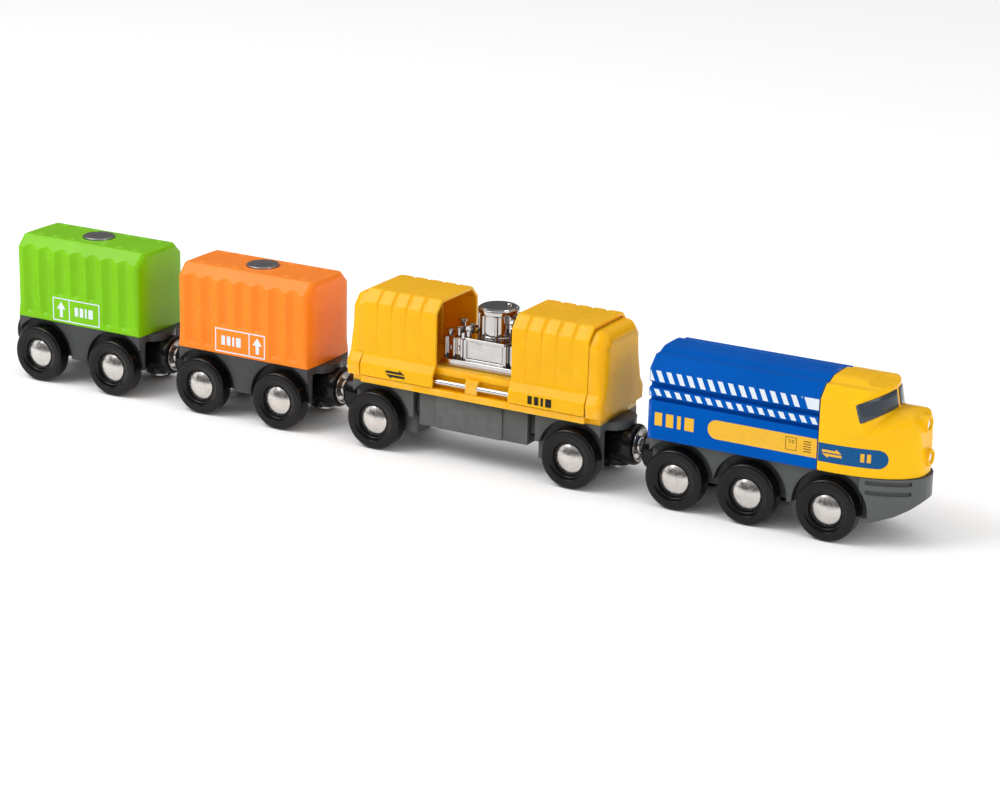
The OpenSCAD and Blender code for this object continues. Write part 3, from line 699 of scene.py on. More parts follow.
def coupler(tag, pin_x, forward, body, prefix):
    """Holder, plated dish and magnet, pointing along forward (+1 or -1) from the swivel pin."""
    centre = (pin_x, 0, COUPLER_HEIGHT)
    plated = Shape()
    dish = [(2.9, 6.6), (3.0, 6.95), (4.2, 7.15), (4.75, 7.45), (5.0, 7.9), (5.15, 8.0)]
    dish += [(5.35, 8.0), (5.45, 7.9), (5.48, 7.6), (5.48, 6.6)]
    magnet = [(2.98, 5.1), (3.0, 7.6)] + arc(1.5, 7.86, 1.5, 0, 90, 8) + [(0.9, 9.37), (0, 9.37)]
    for profile, steps in ((dish, 64), (magnet, 48)):
        plated.turned([(r, forward * a) for r, a in profile], centre, "x", steps)
    plated.piece(tag + "_magnet_plated", body, "magnet", (prefix + "_magnet",), "magnet_plate")
    dress_node(prefix + "_holder", "black", 0.3)


# Container wagons -------------------------------------------------------------------------

FLUTE_PITCH = 6.9
FLUTE_HALF = 2.85
FLUTE_DEEP = 1.25
LEDGE_HALF = 0.45
FLUTE_FLOOR = 24.5
LABEL_TOP = 32.5
BOX_HALF = 26.4
BOX_Y = 13.5
BOX_LOW = 22.2
BOX_SHOULDER = 47.7
BOX_TOP = 51.8
BOX_ROOF_Y = 9.1
END_BULGE = 0.5
PEG_X = 17
SOCKET_R = 2.65
SOCKET_TOP = 25.6
LABEL_Y = 13.49
BOX_AXLE_X = 16
BOX_PIN_X = 25.5


def soft_min(a, b, width=0.12):
    return (a + b - math.sqrt((a - b) ** 2 + width ** 2)) / 2


def smooth_step(low, high, value):
    t = min(1.0, max(0.0, (value - low) / (high - low)))
    return t * t * (3 - 2 * t)


def flute_depth(x, z):
    """How far the fluted side lies behind its ridges."""
    deepest = 0.0
    for i in range(-3, 4):
        u = (x - i * FLUTE_PITCH) / FLUTE_HALF
        if abs(u) < 1:
            floor = LABEL_TOP if abs(i) < 2 else FLUTE_FLOOR
            rise = smooth_step(floor - LEDGE_HALF, floor + LEDGE_HALF, z)
            deepest = max(deepest, FLUTE_DEEP * (1 - u * u) * rise)
    return deepest


def end_stations(half, radius, inner):
    """(x, inset) pairs from -half to half, with both ends rounded; inner lists the flat part."""
    ends = []
    for k in range(5):
        turn = math.radians(22.5 * k)
        ends.append((half - radius + radius * math.sin(turn), radius * (1 - math.cos(turn))))
    left = [(-x, depth) for x, depth in reversed(ends)]
    return left + [(x, 0.0) for x in inner] + ends


def container_outline():
    """Right half, roof and left half of a container's section, from one foot to the other."""
    levels = [BOX_LOW + 0.5, 23.2, FLUTE_FLOOR - LEDGE_HALF, FLUTE_FLOOR + LEDGE_HALF, 26.5, 29, 31.2]
    levels += [LABEL_TOP - LEDGE_HALF, LABEL_TOP + LEDGE_HALF, 34, 36, 38, 41, 44, 46, 46.8]
    corner = [(BOX_Y, 46.8), (BOX_Y, BOX_SHOULDER), (BOX_ROOF_Y, BOX_TOP), (0, BOX_TOP)]
    slope = fillet(corner, [0, 1.0, 1.1, 0], 8, closed=False)
    start, finish = slope[9], slope[10]
    band = [(start[0] + (finish[0] - start[0]) * t, start[1] + (finish[1] - start[1]) * t)
            for t in even(0, 1, 12)[1:-1]]
    right = arc(BOX_Y - 0.5, BOX_LOW + 0.5, 0.5, -90, 0, 3)[:-1] + [(BOX_Y, z) for z in levels]
    right += slope[1:10] + band + slope[10:-1]
    right += [(y, BOX_TOP) for y in even(8.2, 6.0, 9) + even(5.2, 0, 4)]
    return right + flipped(right[:-1])


def container_normals(outline):
    normals = []
    for (y, z), normal in zip(outline, normals_of(outline, closed=False)):
        upright = BOX_LOW + 0.4 < z < BOX_SHOULDER - 0.8
        normals.append((math.copysign(1.0, y), 0.0) if upright else normal)
    return normals


def container_end(y):
    """Distance from the middle of a container to its bulging end."""
    return BOX_HALF + END_BULGE * (1 - (y / BOX_Y) ** 2)


def container(tag, x0, body):
    """Moulded container: fluted sides, sloped shoulders, soft bulging ends and roof dimples."""
    outline = container_outline()
    outward = container_normals(outline)

    def ring(x, depths, reach=None):
        points = []
        for i, ((y, z), (ny, nz)) in enumerate(zip(outline, outward)):
            at = reach[i] if reach else x
            flank = soft_min(abs(y), BOX_Y - flute_depth(at, z)) if z < BOX_TOP - 0.3 else abs(y)
            lift = nz * depths[i] * smooth_step(BOX_LOW, BOX_LOW + 4, z)
            y_in = math.copysign(flank, y) - ny * depths[i] if y else 0.0
            points.append((x0 + at, y_in, z - lift - roof_dimple(at, y, z)))
        return points

    shape = Shape()
    rounding = [0.8 + 1.0 * smooth_step(22.5, 28, z) for _, z in outline]
    level = [0.0] * len(outline)
    rings = [ring(x, level) for x in even(-24.4, 24.4, 244)]
    for side in (1, -1):
        ends = []
        for k in range(13):
            turn = math.radians(7.5 * k)
            reach = [side * (container_end(y) - r * (1 - math.sin(turn)))
                     for (y, _), r in zip(outline, rounding)]
            ends.append(ring(0, [r * (1 - math.cos(turn)) for r in rounding], reach))
        last = ends[-1]
        for scale in (0.92, 0.8, 0.6, 0.4, 0.2, 0.0):
            closing = []
            for _, y, z in last:
                x = x0 + side * container_end(y * scale)
                closing.append((x, y * scale, BOX_LOW + (z - BOX_LOW) * scale))
            ends.append(closing)
        rings = rings + ends if side > 0 else ends[::-1] + rings
    shape.loft(rings, closed=False, start=False, end=False)
    sockets = [[(x0 + u, v, BOX_LOW) for u, v in circle(side * PEG_X, 0, SOCKET_R, 32)] for side in (1, -1)]
    shape.plate([r[0] for r in rings] + [r[-1] for r in reversed(rings)], sockets)
    for side in (1, -1):
        wall = [(SOCKET_R, BOX_LOW), (SOCKET_R, SOCKET_TOP), (0, SOCKET_TOP)]
        shape.turned(wall, (x0 + side * PEG_X, 0, 0), "z", 32)
    ring_seat(shape, x0, BOX_TOP)
    shape.piece(tag + "_container_moulded", body, tag, (tag + "_container",), tag + "_plastic", sharp=42)


def roof_dimple(x, y, z):
    """Shallow oval dimples that end each outer flute near the edges of the roof."""
    if z < BOX_TOP - 0.01:
        return 0.0
    depth = 0.0
    for i in (-3, -2, -1, 1, 2, 3):
        u = (x - i * FLUTE_PITCH) / 1.9
        v = (abs(y) - 7.1) / 0.9
        spread = u * u + v * v
        if spread < 1:
            depth = max(depth, 0.7 * (1 - spread) * (1 - spread))
    return depth


def ring_seat(shape, x0, top):
    """Low moulded ring that the steel disc sits in."""
    profile = [(5.75, top - 1.1), (5.75, top + 0.02), (5.9, top + 0.14), (6.25, top + 0.16)]
    profile += [(6.6, top + 0.08), (6.9, top - 0.02), (6.9, top - 0.3)]
    shape.turned(profile, (x0, 0, 0), "z", 72)


def lift_disc(tag, x0, body):
    disc = Shape()
    profile = [(0, 50.8), (5.5, 50.8), (5.6, 50.9), (5.6, 52.35), (5.52, 52.5), (5.3, 52.6), (4.9, 52.58)]
    profile += [(2.5, 52.52), (0, 52.5)]
    disc.turned(profile, (x0, 0, 0), "z", 72)
    disc.piece(tag + "_lift_disc_turned", body, "steel", (tag + "_lift_disc",), "disc_steel")


def frame_shapes(x0, x1, z0, z1, line):
    """Four strips that draw a rectangle's outline."""
    return [
        rect(x0, x1, z0, z0 + line),
        rect(x0, x1, z1 - line, z1),
        rect(x0, x0 + line, z0 + line, z1 - line),
        rect(x1 - line, x1, z0 + line, z1 - line),
    ]


def up_arrow(x, z0, z1, half):
    neck, stem = z0 + (z1 - z0) * 0.52, half * 0.36
    return [rect(x - stem, x + stem, z0, neck), [(x - half, neck), (x + half, neck), (x, z1)]]


def bars(x0, z0, z1, widths, gap):
    """A row of plain upright bars that stands where the lettering is on the real toy."""
    shapes, x = [], x0
    for width in widths:
        shapes.append(rect(x, x + width, z0, z1))
        x += width + gap
    return shapes


def container_label(tag, x0, arrow_left, body):
    """Outlined label with an up arrow in one cell and plain bars in the other, on both sides."""
    line, z0, z1 = 0.42, 23.1, 31.5
    left, right = x0 - 10.8, x0 + 9.7
    split = x0 - 3.8 if arrow_left else x0 + 3.0
    cell = (left + split) / 2 if arrow_left else (split + right) / 2
    bars_start = 2.6 + (split if arrow_left else left)
    shapes = frame_shapes(left, right, z0, z1, line)
    shapes.append(rect(split, split + line, z0 + line, z1 - line))
    shapes += up_arrow(cell + 0.2, 24.5, 30.2, 1.9)
    shapes += bars(bars_start, 25.7, 29.0, (1.5, 1.5, 0.8, 1.9), 0.75)
    print_sides((tag + "_label", body, "white_ink", shapes, flat(LABEL_Y)))


def container_wagon(tag, x0, arrow_left):
    """One container with its disc and labels, on its chassis with two wheelsets and two couplings."""
    container(tag, x0, tag + "_load")
    lift_disc(tag, x0, tag + "_load")
    container_label(tag, x0, arrow_left, tag + "_load")
    dress_node(tag + "_chassis", "dark_grey", 0.3)
    dress_node(tag + "_coupler_pins", "screw", 0.15)
    for end, forward in ENDS:
        wheelset(f"{tag}_{end}", x0 + forward * BOX_AXLE_X)
    for end, forward in ENDS:
        name = f"{tag}_{end}"
        coupler(name, x0 + forward * BOX_PIN_X, forward, name + "_coupler", name)


container_wagon("green", GREEN_X, True)
container_wagon("orange", ORANGE_X, False)


# Wagon with sliding covers ----------------------------------------------------------------

COVER_IN = 14.2
COVER_LEN = 27.8
COVER_BANDS = 5
SKIRT_PRINT_Y = 16.02
COVER_AXLE_X = 36.9
COVER_PIN_X = 47.05
HOUSING_FOOT = 25.0
HOUSING_CROWN = 0.25


def cover_outline():
    """Section of a cover: out along its outer surface and back along its inner one."""
    outer = [(16, 25.3), (16, 29.2), (14, 32.5), (14, 36), (14, 45.5), (14, 47), (14, 50), (10.2, 54)]
    outer += [(8.4, 54)]
    inner = [(8.4, 52.8), (9.6, 52.8), (12.75, 49.6), (12.75, 47), (12.75, 45.5), (12.75, 36)]
    inner += [(12.75, 32.4), (15.05, 28.9), (15.05, 25.3)]
    outer_radii = [0.3, 1.6, 1.8, 0, 0, 0, 1.3, 1.1, 0]
    inner_radii = [0, 0.8, 1.0, 0, 0, 0, 1.2, 1.2, 0.3]
    radii = outer_radii + outer_radii[::-1] + inner_radii[::-1] + inner_radii
    return fillet(outer + flipped(outer) + flipped(inner) + inner, radii, 6)


def cover(tag, sign):
    """Thin-walled hood with five crowned bands, flared skirt and rounded rims."""
    outline = cover_outline()
    outward = normals_of(outline)
    share = [0.0] * len(outline)
    for i, (y, z) in enumerate(outline):
        outside = i < len(outline) // 2
        if outside and z > 26:
            upper = 0.3 + 0.7 * smooth_step(46.5, 49, z)
            share[i] = upper * smooth_step(31.2, 34.5, z) * smooth_step(8.6, 9.8, abs(y))
    shape = Shape()
    rings = []
    for x, depth in end_stations(COVER_LEN / 2, 0.22, even(-13.6, 13.6, 136)[1:-1]):
        ring = []
        phase = (x + COVER_LEN / 2) / COVER_LEN * COVER_BANDS
        near = abs(phase - round(phase)) * COVER_LEN / COVER_BANDS
        inside = 0.5 < phase < COVER_BANDS - 0.5
        groove = 0.36 * (1 - smooth_step(0.2, 0.75, near)) if inside else 0.0
        crown = 0.12 * (1 - (2 * (phase - math.floor(phase)) - 1) ** 2)
        for (y, z), (ny, nz), part in zip(outline, outward, share):
            sink = depth + part * (groove + 0.12 - crown)
            ring.append((COVER_X + sign * (COVER_IN + COVER_LEN / 2 + x), y - ny * sink, z - nz * sink))
        rings.append(ring)
    shape.loft(rings, bridged=True)
    for start in (COVER_IN + 3, COVER_IN + COVER_LEN - 5):
        for side in (-1, 1):
            x = sorted((COVER_X + sign * start, COVER_X + sign * (start + 3.8)))
            y = sorted((side * 12.6, side * 15.2))
            for z in ((25.4, 26.2), (28.2, 28.8)):
                shape.block(x, y, z, 0.15)
    shape.piece(tag + "_moulded", tag, "yellow", (tag,), "wagon_yellow", sharp=50)


def housing_outline():
    half = [(16, HOUSING_FOOT), (16, 29.2), (13.7, 32.7), (13.5, 48.4), (9.7, 52.4), (0, 52.4)]
    right = fillet(half, [0.4, 1.6, 1.8, 2.2, 2.0, 0], 8, closed=False)
    right = [(15.6, HOUSING_FOOT)] + dense(right[1:], 1.2)
    return right + flipped(right[:-1])


def housing_end(y, z):
    """Distance from the wagon's middle to a housing's crowned end face, which leans in a little."""
    return 47.85 - 0.5 * smooth_step(32, 50, z) + HOUSING_CROWN * (1 - (y / 14) ** 2)


def housing(tag, sign):
    """End of the body: a rounded cap with a flared skirt, and the sleeve that a cover slides over."""
    outline = housing_outline()
    outward = normals_of(outline, closed=False)
    rings = []
    for behind, depth in ((0, 0.06), (0.06, 0)):
        rings.append([(42.08 + behind + 0.4 * (1 - smooth_step(30, 33, z)), y - ny * depth, z - nz * depth)
                      for (y, z), (ny, nz) in zip(outline, outward)])
    for k in range(13):
        turn = math.radians(90 * k / 12)
        ring = []
        for (y, z), (ny, nz) in zip(outline, outward):
            radius = 1.8 + 2.0 * smooth_step(30, 42, z)
            depth = radius * (1 - math.cos(turn))
            lift = smooth_step(HOUSING_FOOT, 33, z)
            y_in, z_in = y - ny * depth, z - nz * lift * depth
            ring.append((housing_end(y_in, z_in) - radius * (1 - math.sin(turn)), y_in, z_in))
        rings.append(ring)
    shape = Shape()
    solid = [[(COVER_X + sign * x, y, z) for x, y, z in ring] for ring in rings]
    shape.loft(solid, closed=False, start=False, end=False)
    shape.loft([[ring[0], ring[-1]] for ring in solid], closed=False, start=False, end=False)
    shape.faces.append(tuple(range(len(outline) - 1, -1, -1)))
    rows = []
    for _, y, z in solid[-1]:
        if y > 0 and (not rows or z > rows[-1][0][2] + 1e-6):
            rows.append([(COVER_X + sign * housing_end(y * t, z), y * t, z) for t in even(1, -1, 12)])
    shape.loft(rows, closed=False, start=False, end=False)
    sleeve_outer = [(12.35, 31.6), (12.35, 49.4), (9.4, 52.35)]
    sleeve_inner = [(8.9, 51.1), (11.1, 48.9), (11.1, 31.6)]
    sleeve = sleeve_outer + flipped(sleeve_outer) + flipped(sleeve_inner) + sleeve_inner
    walls = fillet(sleeve, [0.3, 1.0, 1.2, 1.2, 1.0, 0.3, 0.3, 0.8, 0.8, 0.8, 0.8, 0.3], 4)
    span = sorted((COVER_X + sign * 26.5, COVER_X + sign * 42.6))
    shape.prism(walls, span[0], span[1], 0.25, "x", bridged=True)
    shape.piece(tag + "_moulded", "cover_wagon", "yellow", (tag,), "wagon_yellow", sharp=50)


def slide_rods():
    rods = Shape()
    profile = [(0, -44.4), (0.75, -44.4), (0.95, -44.2), (0.95, 44.2), (0.75, 44.4), (0, 44.4)]
    for side in (-1, 1):
        rods.turned(profile, (COVER_X, side * 13.9, 27.2), "x", 32)
    rods.piece("slide_rods_polished", "cover_wagon", "rod", ("slide_rods",), "rod_steel")


def double_arrow(x, z, length, height):
    """Two half arrows that point opposite ways, the plain sign for a part that slides."""
    bar, gap, head = height * 0.24, height * 0.12, length * 0.3
    top = [(x - length / 2, z + gap / 2), (x + length / 2, z + gap / 2),
           (x + length / 2 - head, z + height / 2), (x + length / 2 - head, z + gap / 2 + bar),
           (x - length / 2, z + gap / 2 + bar)]
    low = [(2 * x - px, 2 * z - pz) for px, pz in top]
    return [top, low]


def cover_marks():
    """Printed marks on the cover skirts, on both sides of the wagon."""
    arrows = double_arrow(COVER_X - 28.3, 27.5, 7.4, 3.4)
    marks = bars(COVER_X + 21.6, 26.2, 29.0, (1.6, 1.6, 0.9, 2.2), 0.8)
    print_sides(
        ("slide_arrows", "rear_cover", "black_ink", arrows, flat(SKIRT_PRINT_Y)),
        ("cover_bars", "front_cover", "black_ink", marks, flat(SKIRT_PRINT_Y)),
    )


def rod_clips():
    """Small clips at the middle of each side that hold the slide rods, clear of the cover skirts."""
    clip = Shape()
    right = fillet([(12.6, 24.9), (14.85, 24.9), (14.85, 28.2), (14.2, 29.3), (12.6, 29.3)], 0.3, 3)
    for outline in (right, flipped(right)):
        clip.prism(outline, COVER_X - 2.5, COVER_X + 2.1, 0.3, "x")
    clip.piece("rod_clips", "cover_wagon", "yellow", (), "wagon_yellow")


for end, way in ENDS:
    cover(end + "_cover", way)
for end, way in ENDS:
    housing(end + "_housing", way)
slide_rods()
rod_clips()
cover_marks()
dress_node("cover_wagon_deck", "yellow", 0.22)
dress_node("cover_wagon_chassis", "grey", 0.3)
dress_node("cover_wagon_coupler_pins", "screw", 0.15)
dress_node("cover_wagon_screws", "screw", 0.12)
for end, way in ENDS:
    wheelset(f"cover_wagon_{end}", COVER_X + way * COVER_AXLE_X)
for end, way in ENDS:
    name = f"cover_wagon_{end}"
    coupler(name, COVER_X + way * COVER_PIN_X, way, name + "_coupler", name)


# The plated machine -----------------------------------------------------------------------

BASE_FOOT = 30.7
BASE_TOP = 34
BLOCK_TOP = 41
PANEL_TOP = 42
TANK_X, TANK_Y = COVER_X + 0.9, 1.2
TANK_WIDER = 1.13
TANK_TALLER = 0.35
TANK_RIB_RADIUS = 6.27
PIPE_Y, PIPE_Z = -3.6, 47.6


def machine_base():
    """Bed with skids, the box with a framed panel on each side, and a ribbed block at each end."""
    x = COVER_X
    base = Shape()
    base.block((x - 14.5, x + 15.5), (-9.4, 9.4), (BASE_FOOT, 32.6), 0.3)
    skid = [(-16, BASE_FOOT), (17, BASE_FOOT), (17, 31.7), (15.2, 34.2), (-14.2, 34.2), (-16, 31.7)]
    for side in (-1, 1):
        span = sorted((side * 7.2, side * 9.35))
        base.prism([(x + u, v) for u, v in fillet(skid, 0.4, 3)], span[0], span[1], 0.3, "y")
    base.block((x - 14.8, x + 15.6), (-8.2, 8.2), (32.4, 34.2), 0.25)
    base.block((x - 6.6, x + 9.0), (-8.0, 8.0), (BASE_TOP, 41.6), 0.3)
    for side in (-1, 1):
        y = sorted((side * 7.8, side * 8.6))
        base.block((x - 6.8, x - 5.7), y, (34.1, PANEL_TOP), 0.2)
        base.block((x + 8.1, x + 9.2), y, (34.1, PANEL_TOP), 0.2)
        base.block((x - 6.8, x + 9.2), y, (41.1, PANEL_TOP), 0.2)
        base.block((x - 6.8, x + 9.2), y, (34.1, 35), 0.2)
        base.block((x - 5.2, x + 7.6), sorted((side * 7.9, side * 8.25)), (35.5, 40.6), 0.15)
    base.block((x - 6.8, x + 9.2), (-8.3, 8.3), (41.5, PANEL_TOP), 0.2)
    for start, end in ((-15, -6.6), (9, 16)):
        base.block((x + start, x + end), (-6.4, 6.4), (BASE_TOP, BLOCK_TOP), 0.3)
    for rib in (-15, -11.8, -8.8, 9.9, 12.6, 14.8):
        base.block((x + rib, x + rib + 1.1), (-7.4, 7.4), (BASE_TOP, BLOCK_TOP), 0.3)
    for bolt in (-13.2, -10.2):
        base.block((x + bolt, x + bolt + 1.0), (-6.9, 6.9), (36.5, 38.2), 0.2)
    base.piece("cargo_base_plated", "cover_wagon", "chrome", ("cargo_base",), "mirror_plating")


def machine_tank():
    """Upright tank with a lid, a knob, eight ribs and a latch, and a small dome beside it."""
    tank = Shape()
    wall = [(5.75, 41.8), (5.75, 42.3), (5.55, 42.5), (5.55, 48.9), (5.75, 49.2), (6.05, 49.5)]
    wall += [(6.1, 49.9), (6.1, 50.7), (5.95, 50.95), (5.6, 51.0), (5.45, 51.1), (5.35, 51.4)]
    wall += [(5.0, 51.5), (0, 51.5)]
    wall = [(radius * TANK_WIDER, z + TANK_TALLER * smooth_step(48, 49, z)) for radius, z in wall]
    tank.turned(wall, (TANK_X, TANK_Y, 0), "z", 72)
    rib = [(0, 42), (0.55, 42), (0.6, 42.2), (0.6, 49.3), (0, 49.5)]
    for turn in range(8):
        angle = math.radians(22.5 + 45 * turn)
        x, y = TANK_X + TANK_RIB_RADIUS * math.cos(angle), TANK_Y + TANK_RIB_RADIUS * math.sin(angle)
        tank.turned(rib, (x, y, 0), "z", 16)
    knob = [(0, 51.7), (0.95, 51.7), (0.95, 52.2), (0.75, 52.45), (0, 52.5)]
    tank.turned(knob, (TANK_X + 2.6, TANK_Y + 2.6, 0), "z", 24)
    tank.block((TANK_X + 5.6, TANK_X + 7.6), (TANK_Y - 1.0, TANK_Y + 1.0), (48.2, 49.6), 0.25)
    dome = [(2.7, 41.8), (2.7, 46.9), (2.6, 47.6), (2.3, 48.4), (1.8, 49.1), (1.0, 49.5), (0, 49.6)]
    tank.turned(dome, (COVER_X + 6.4, 4.2, 0), "z", 40)
    tank.piece("cargo_tank_plated", "cover_wagon", "chrome", ("cargo_tank",), "mirror_plating")


def disc_profile(start, radius):
    """A round plate 0.9 thick with broken edges, for turned()."""
    return [(0, start), (radius - 0.1, start), (radius, start + 0.1), (radius, start + 0.8),
            (radius - 0.1, start + 0.9), (0, start + 0.9)]


def machine_pipes():
    """Bent pipe with its flanges, four valves, two stubs, two thin lines and a small pump."""
    x = COVER_X
    pipes = Shape()
    bend = [(x + 12.2, PIPE_Y, BLOCK_TOP), (x + 12.2, PIPE_Y, 44.6)]
    bend += [(x + 9.6 + u, PIPE_Y, v) for u, v in arc(0, 45, 2.6, 0, 90, 8)]
    bend += [(x + 8.6, PIPE_Y, PIPE_Z)]
    pipes.tube(bend, 1.1, 20)
    pipes.turned(disc_profile(BLOCK_TOP, 1.9), (x + 12.2, PIPE_Y, 0), "z", 32)
    pipes.turned(disc_profile(8.7, 1.9), (x, PIPE_Y, PIPE_Z), "x", 32)
    for px, py, high in ((-14, -4.6, 2.2), (-10.6, -4.4, 3.4), (-14, 3.6, 3.6), (-10.4, 3.4, 2.6)):
        top = BLOCK_TOP + high
        valve = [(0, 40.9), (0.9, 40.9), (0.9, top - 1.1), (1.25, top - 1.0), (1.4, top - 0.85)]
        valve += [(1.4, top - 0.2), (1.25, top), (0.5, top), (0, top)]
        pipes.turned(valve, (x + px, py, 0), "z", 28)
    for px, py, high in ((12.6, 3.6, 3.6), (15, -2, 2.4)):
        top = BLOCK_TOP + high
        stub = [(0, 40.9), (1.3, 40.9), (1.3, top - 0.3), (1.0, top), (0, top)]
        pipes.turned(stub, (x + px, py, 0), "z", 28)
    pipes.tube([(x - 14, -4.6, 42.2), (x - 12.3, -4.6, 42.6), (x - 10.6, -4.4, 42.2)], 0.45, 12)
    pipes.tube([(x - 10.4, 3.4, 42.4), (x - 8.5, 2.4, 42.9), (x - 5.6, 1.8, 43.4)], 0.5, 12)
    pipes.block((x - 8.4, x - 7.2), (-7.2, -5.4), (BLOCK_TOP, 43.0), 0.2)
    pipes.block((x - 6.2, x - 5.0), (-7.6, -6.2), (41.9, 44.6), 0.2)
    pump = [(0, -7.6), (0.9, -7.6), (1.0, -7.4), (1.0, -6.4), (0, -6.2)]
    pipes.turned(pump, (x - 5.6, 0, 44.9), "y", 24)
    pipes.piece("cargo_pipework_plated", "cover_wagon", "chrome", ("cargo_pipework",), "mirror_plating")


machine_base()
machine_tank()
machine_pipes()


# Locomotive -------------------------------------------------------------------------------

LOCO_REAR = -35
CAB_JOINT = 22.8
LOCO_Y = 15
LOCO_PRINT_Y = 15.03
NOSE_START = 24
NOSE_LENGTH = 29.4
NOSE_POWER = 2.3
LAMPS = ((27.8, 54.35), (38.3, 53.2))
LOCO_AXLES = (("front", 26.9), ("middle", 0), ("rear", -24.9))
LOCO_PIN_X = -33.5
CAB_SOFTER = (
    ((34.2, 10, 31), (44, 20, 37.8), 60),
    ((47, -1, 38.5), (60, 20, 50), 50),
)


def loco_body():
    """The painted block: two grooves along each side, sloped shoulders and a raised roof strip."""
    half = [
        (15, 22.2), (15, 34.8), (13.3, 35.1), (13.3, 36.1), (15, 36.4), (15, 39.1), (13.3, 39.4),
        (13.3, 40.7), (15, 41), (15, 45.2), (10.9, 49), (9.4, 49), (8, 49.1), (5.4, 50.2), (3.2, 50.4)
    ]
    radii = [0.4, 0.3, 0.25, 0.25, 0.3, 0.3, 0.25, 0.25, 0.3, 0.5, 0.6, 0.4, 0.5, 0.8, 0.8]
    outline = fillet(half + flipped(half), radii + radii[::-1], 4)
    outline = dense(outline + outline[:1], 1.0)[:-1]
    body = Shape()
    body.prism(outline, LOCO_X + LOCO_REAR, LOCO_X + CAB_JOINT - 0.12, 0.25, "x", parts=48)
    body.piece("loco_body_painted", "locomotive", "blue", ("loco_body",), "blue_paint")


def dashes(z0, z1, count, pitch, start, width, lean):
    """A row of slanting dashes."""
    feet = [start + i * pitch for i in range(count)]
    return [[(x + lean, z0), (x + width + lean, z0), (x + width, z1), (x, z1)] for x in feet]


def capsule_strip(x0, x1, z0, z1, round_at):
    """A band with one round end, at its low-x end or its high-x end."""
    radius, mid = (z1 - z0) / 2, (z0 + z1) / 2
    if round_at == "low":
        return arc(x0 + radius, mid, radius, 90, 270, 16) + [(x1, z0), (x1, z1)]
    return [(x0, z1), (x0, z0)] + arc(x1 - radius, mid, radius, -90, 90, 16)


def clipped(shapes, x0, x1):
    """Polygons cut off at two limits of x, for convex polygons."""
    kept = []
    for shape in shapes:
        for limit, keep_above in ((x0, True), (x1, False)):
            result = []
            for i, (ax, az) in enumerate(shape):
                bx, bz = shape[i - 1]
                inside_a = ax >= limit if keep_above else ax <= limit
                inside_b = bx >= limit if keep_above else bx <= limit
                if inside_a != inside_b:
                    t = (limit - bx) / (ax - bx)
                    result.append((limit, bz + t * (az - bz)))
                if inside_a:
                    result.append((ax, az))
            shape = result
        if len(shape) > 2:
            kept.append(shape)
    return kept


def loco_livery():
    """Dashes, stripe, bars and stripe details on both sides of the body."""
    x = LOCO_X
    low, high = x + LOCO_REAR + 0.3, x + CAB_JOINT - 0.2
    upper = dashes(41.35, 44.9, 17, 3.53, x - 36.3, 1.75, 1.5)
    block = [(high - 3.6, 41.35), (high, 41.35), (high, 44.9), (high - 5.0, 44.9)]
    upper = clipped(upper, low, high - 5.6) + [block]
    lower = clipped(dashes(36.75, 38.8, 18, 3.53, x - 36.8, 1.75, 1.1), low, high)
    stripe = capsule_strip(x - 14.2, high, 26.0, 32.2, "low")
    marks = bars(x - 32.6, 26.9, 31.2, (2.6, 2.6, 1.3, 3.2), 1.3)
    details = frame_shapes(x + 12.2, x + 15.9, 27.1, 31.3, 0.16)
    details += [rect(x + a, x + a + 0.75, b, b + 0.22) for a in (13.2, 14.3) for b in (30.2, 29.6)]
    details += [rect(x + 18.2, x + 20.7, b, b + 0.24) for b in (27.4, 28.2, 29.0, 29.8, 30.6)]
    surface, raised = flat(LOCO_PRINT_Y), flat(LOCO_PRINT_Y + 0.03)
    print_sides(
        ("white_dashes", "locomotive", "white_ink", upper + lower, surface),
        ("yellow_stripe", "locomotive", "yellow_ink", [stripe], surface),
        ("yellow_bars", "locomotive", "yellow_ink", marks, surface),
        ("stripe_details", "locomotive", "black_ink", details, raised),
    )


def nose_y(x):
    """Half width of the cab at a place along the train."""
    ahead = x - (LOCO_X + NOSE_START)
    if ahead <= 0:
        return LOCO_Y
    return LOCO_Y * max(0.0, 1 - (ahead / NOSE_LENGTH) ** NOSE_POWER) ** (1 / NOSE_POWER)


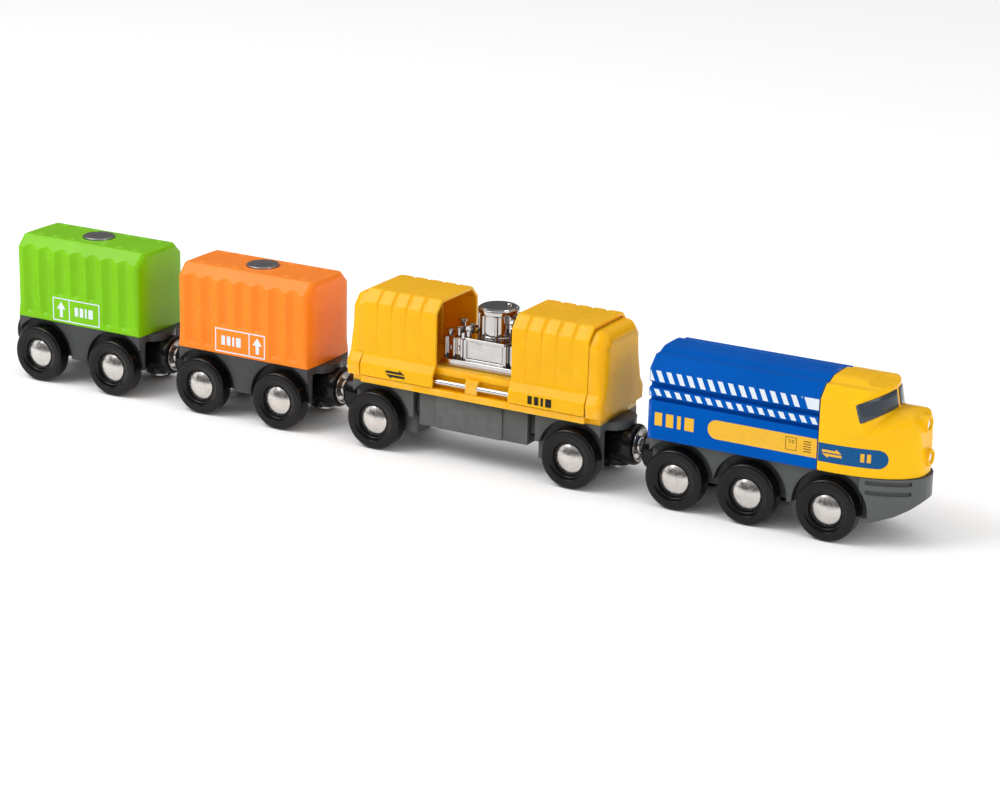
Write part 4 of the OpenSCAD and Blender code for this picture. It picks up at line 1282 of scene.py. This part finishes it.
def cab_livery(cab):
    """The blue stripe round the cab's sides with its marks, laid on the moulded surface."""
    x = LOCO_X
    stripe = capsule_strip(x + 23.1, x + 44.8, 25.4, 31.4, "high")
    marks = double_arrow(x + 27.6, 28.4, 6.4, 3.2) + bars(x + 36.6, 27.1, 29.8, (1.2, 1.2), 0.8)
    print_sides(
        ("blue_stripe", "locomotive", "blue_ink", [stripe], ray_surface(cab, 0.05), 0.6),
        ("stripe_marks", "locomotive", "yellow_ink", marks, ray_surface(cab, 0.09), 0.6),
    )


def ray_surface(piece, proud):
    """A function that finds how far out a print on a piece's side lies, just proud of it."""
    def distance(side, x, z):
        hit, place, _, _ = piece.ray_cast(Vector((x, side * 40, z)) * MM, Vector((0, -side, 0)))
        return abs(place.y) / MM + proud if hit else nose_y(x) + proud
    return distance


def lamps():
    """Two headlamps on the nose, each a moulded ring round a domed lens."""
    rings = Shape()
    lenses = Shape()
    for z, ahead in LAMPS:
        face = LOCO_X + ahead
        ring = [(2.7, face - 5), (2.7, face - 0.35), (2.6, face - 0.12), (2.4, face), (2.2, face)]
        ring += [(2.02, face - 0.12), (1.92, face - 0.4), (1.9, face - 1.6)]
        rings.turned(ring, (0, 0, z), "x", 48)
        lens = [(0, face - 1.5), (1.9, face - 1.5), (1.9, face - 0.85)] + [
            (1.9 * math.cos(a), face - 0.85 + 0.4 * math.sin(a)) for a in even(0.15, math.pi / 2, 6)]
        lenses.turned(lens, (0, 0, z), "x", 40)
    rings.piece("lamp_rings", "locomotive", "cab", (), "cab_yellow")
    lenses.piece("headlamp_lenses_domed", "locomotive", "lens", ("headlamp_lenses",), "lamp_silver")


loco_body()
loco_livery()
loco_cab = smoothed_copy("loco_cab", "cab", 0.26, 9, CAB_SOFTER)
smoothed_copy("loco_pilot", "grey", 0.24, 4)
bpy.context.view_layer.update()
cab_livery(loco_cab)
lamps()
dress_node("cab_windows", "window", 0.08)
dress_node("loco_chassis", "grey", 0.35)
dress_node("loco_screws", "screw", 0.12)
dress_node("loco_coupler_pin", "screw", 0.15)
for place, x in LOCO_AXLES:
    wheelset(f"loco_{place}", LOCO_X + x)
coupler("loco", LOCO_X + LOCO_PIN_X, -1, "loco_coupler", "loco_coupler")


bpy.context.view_layer.update()
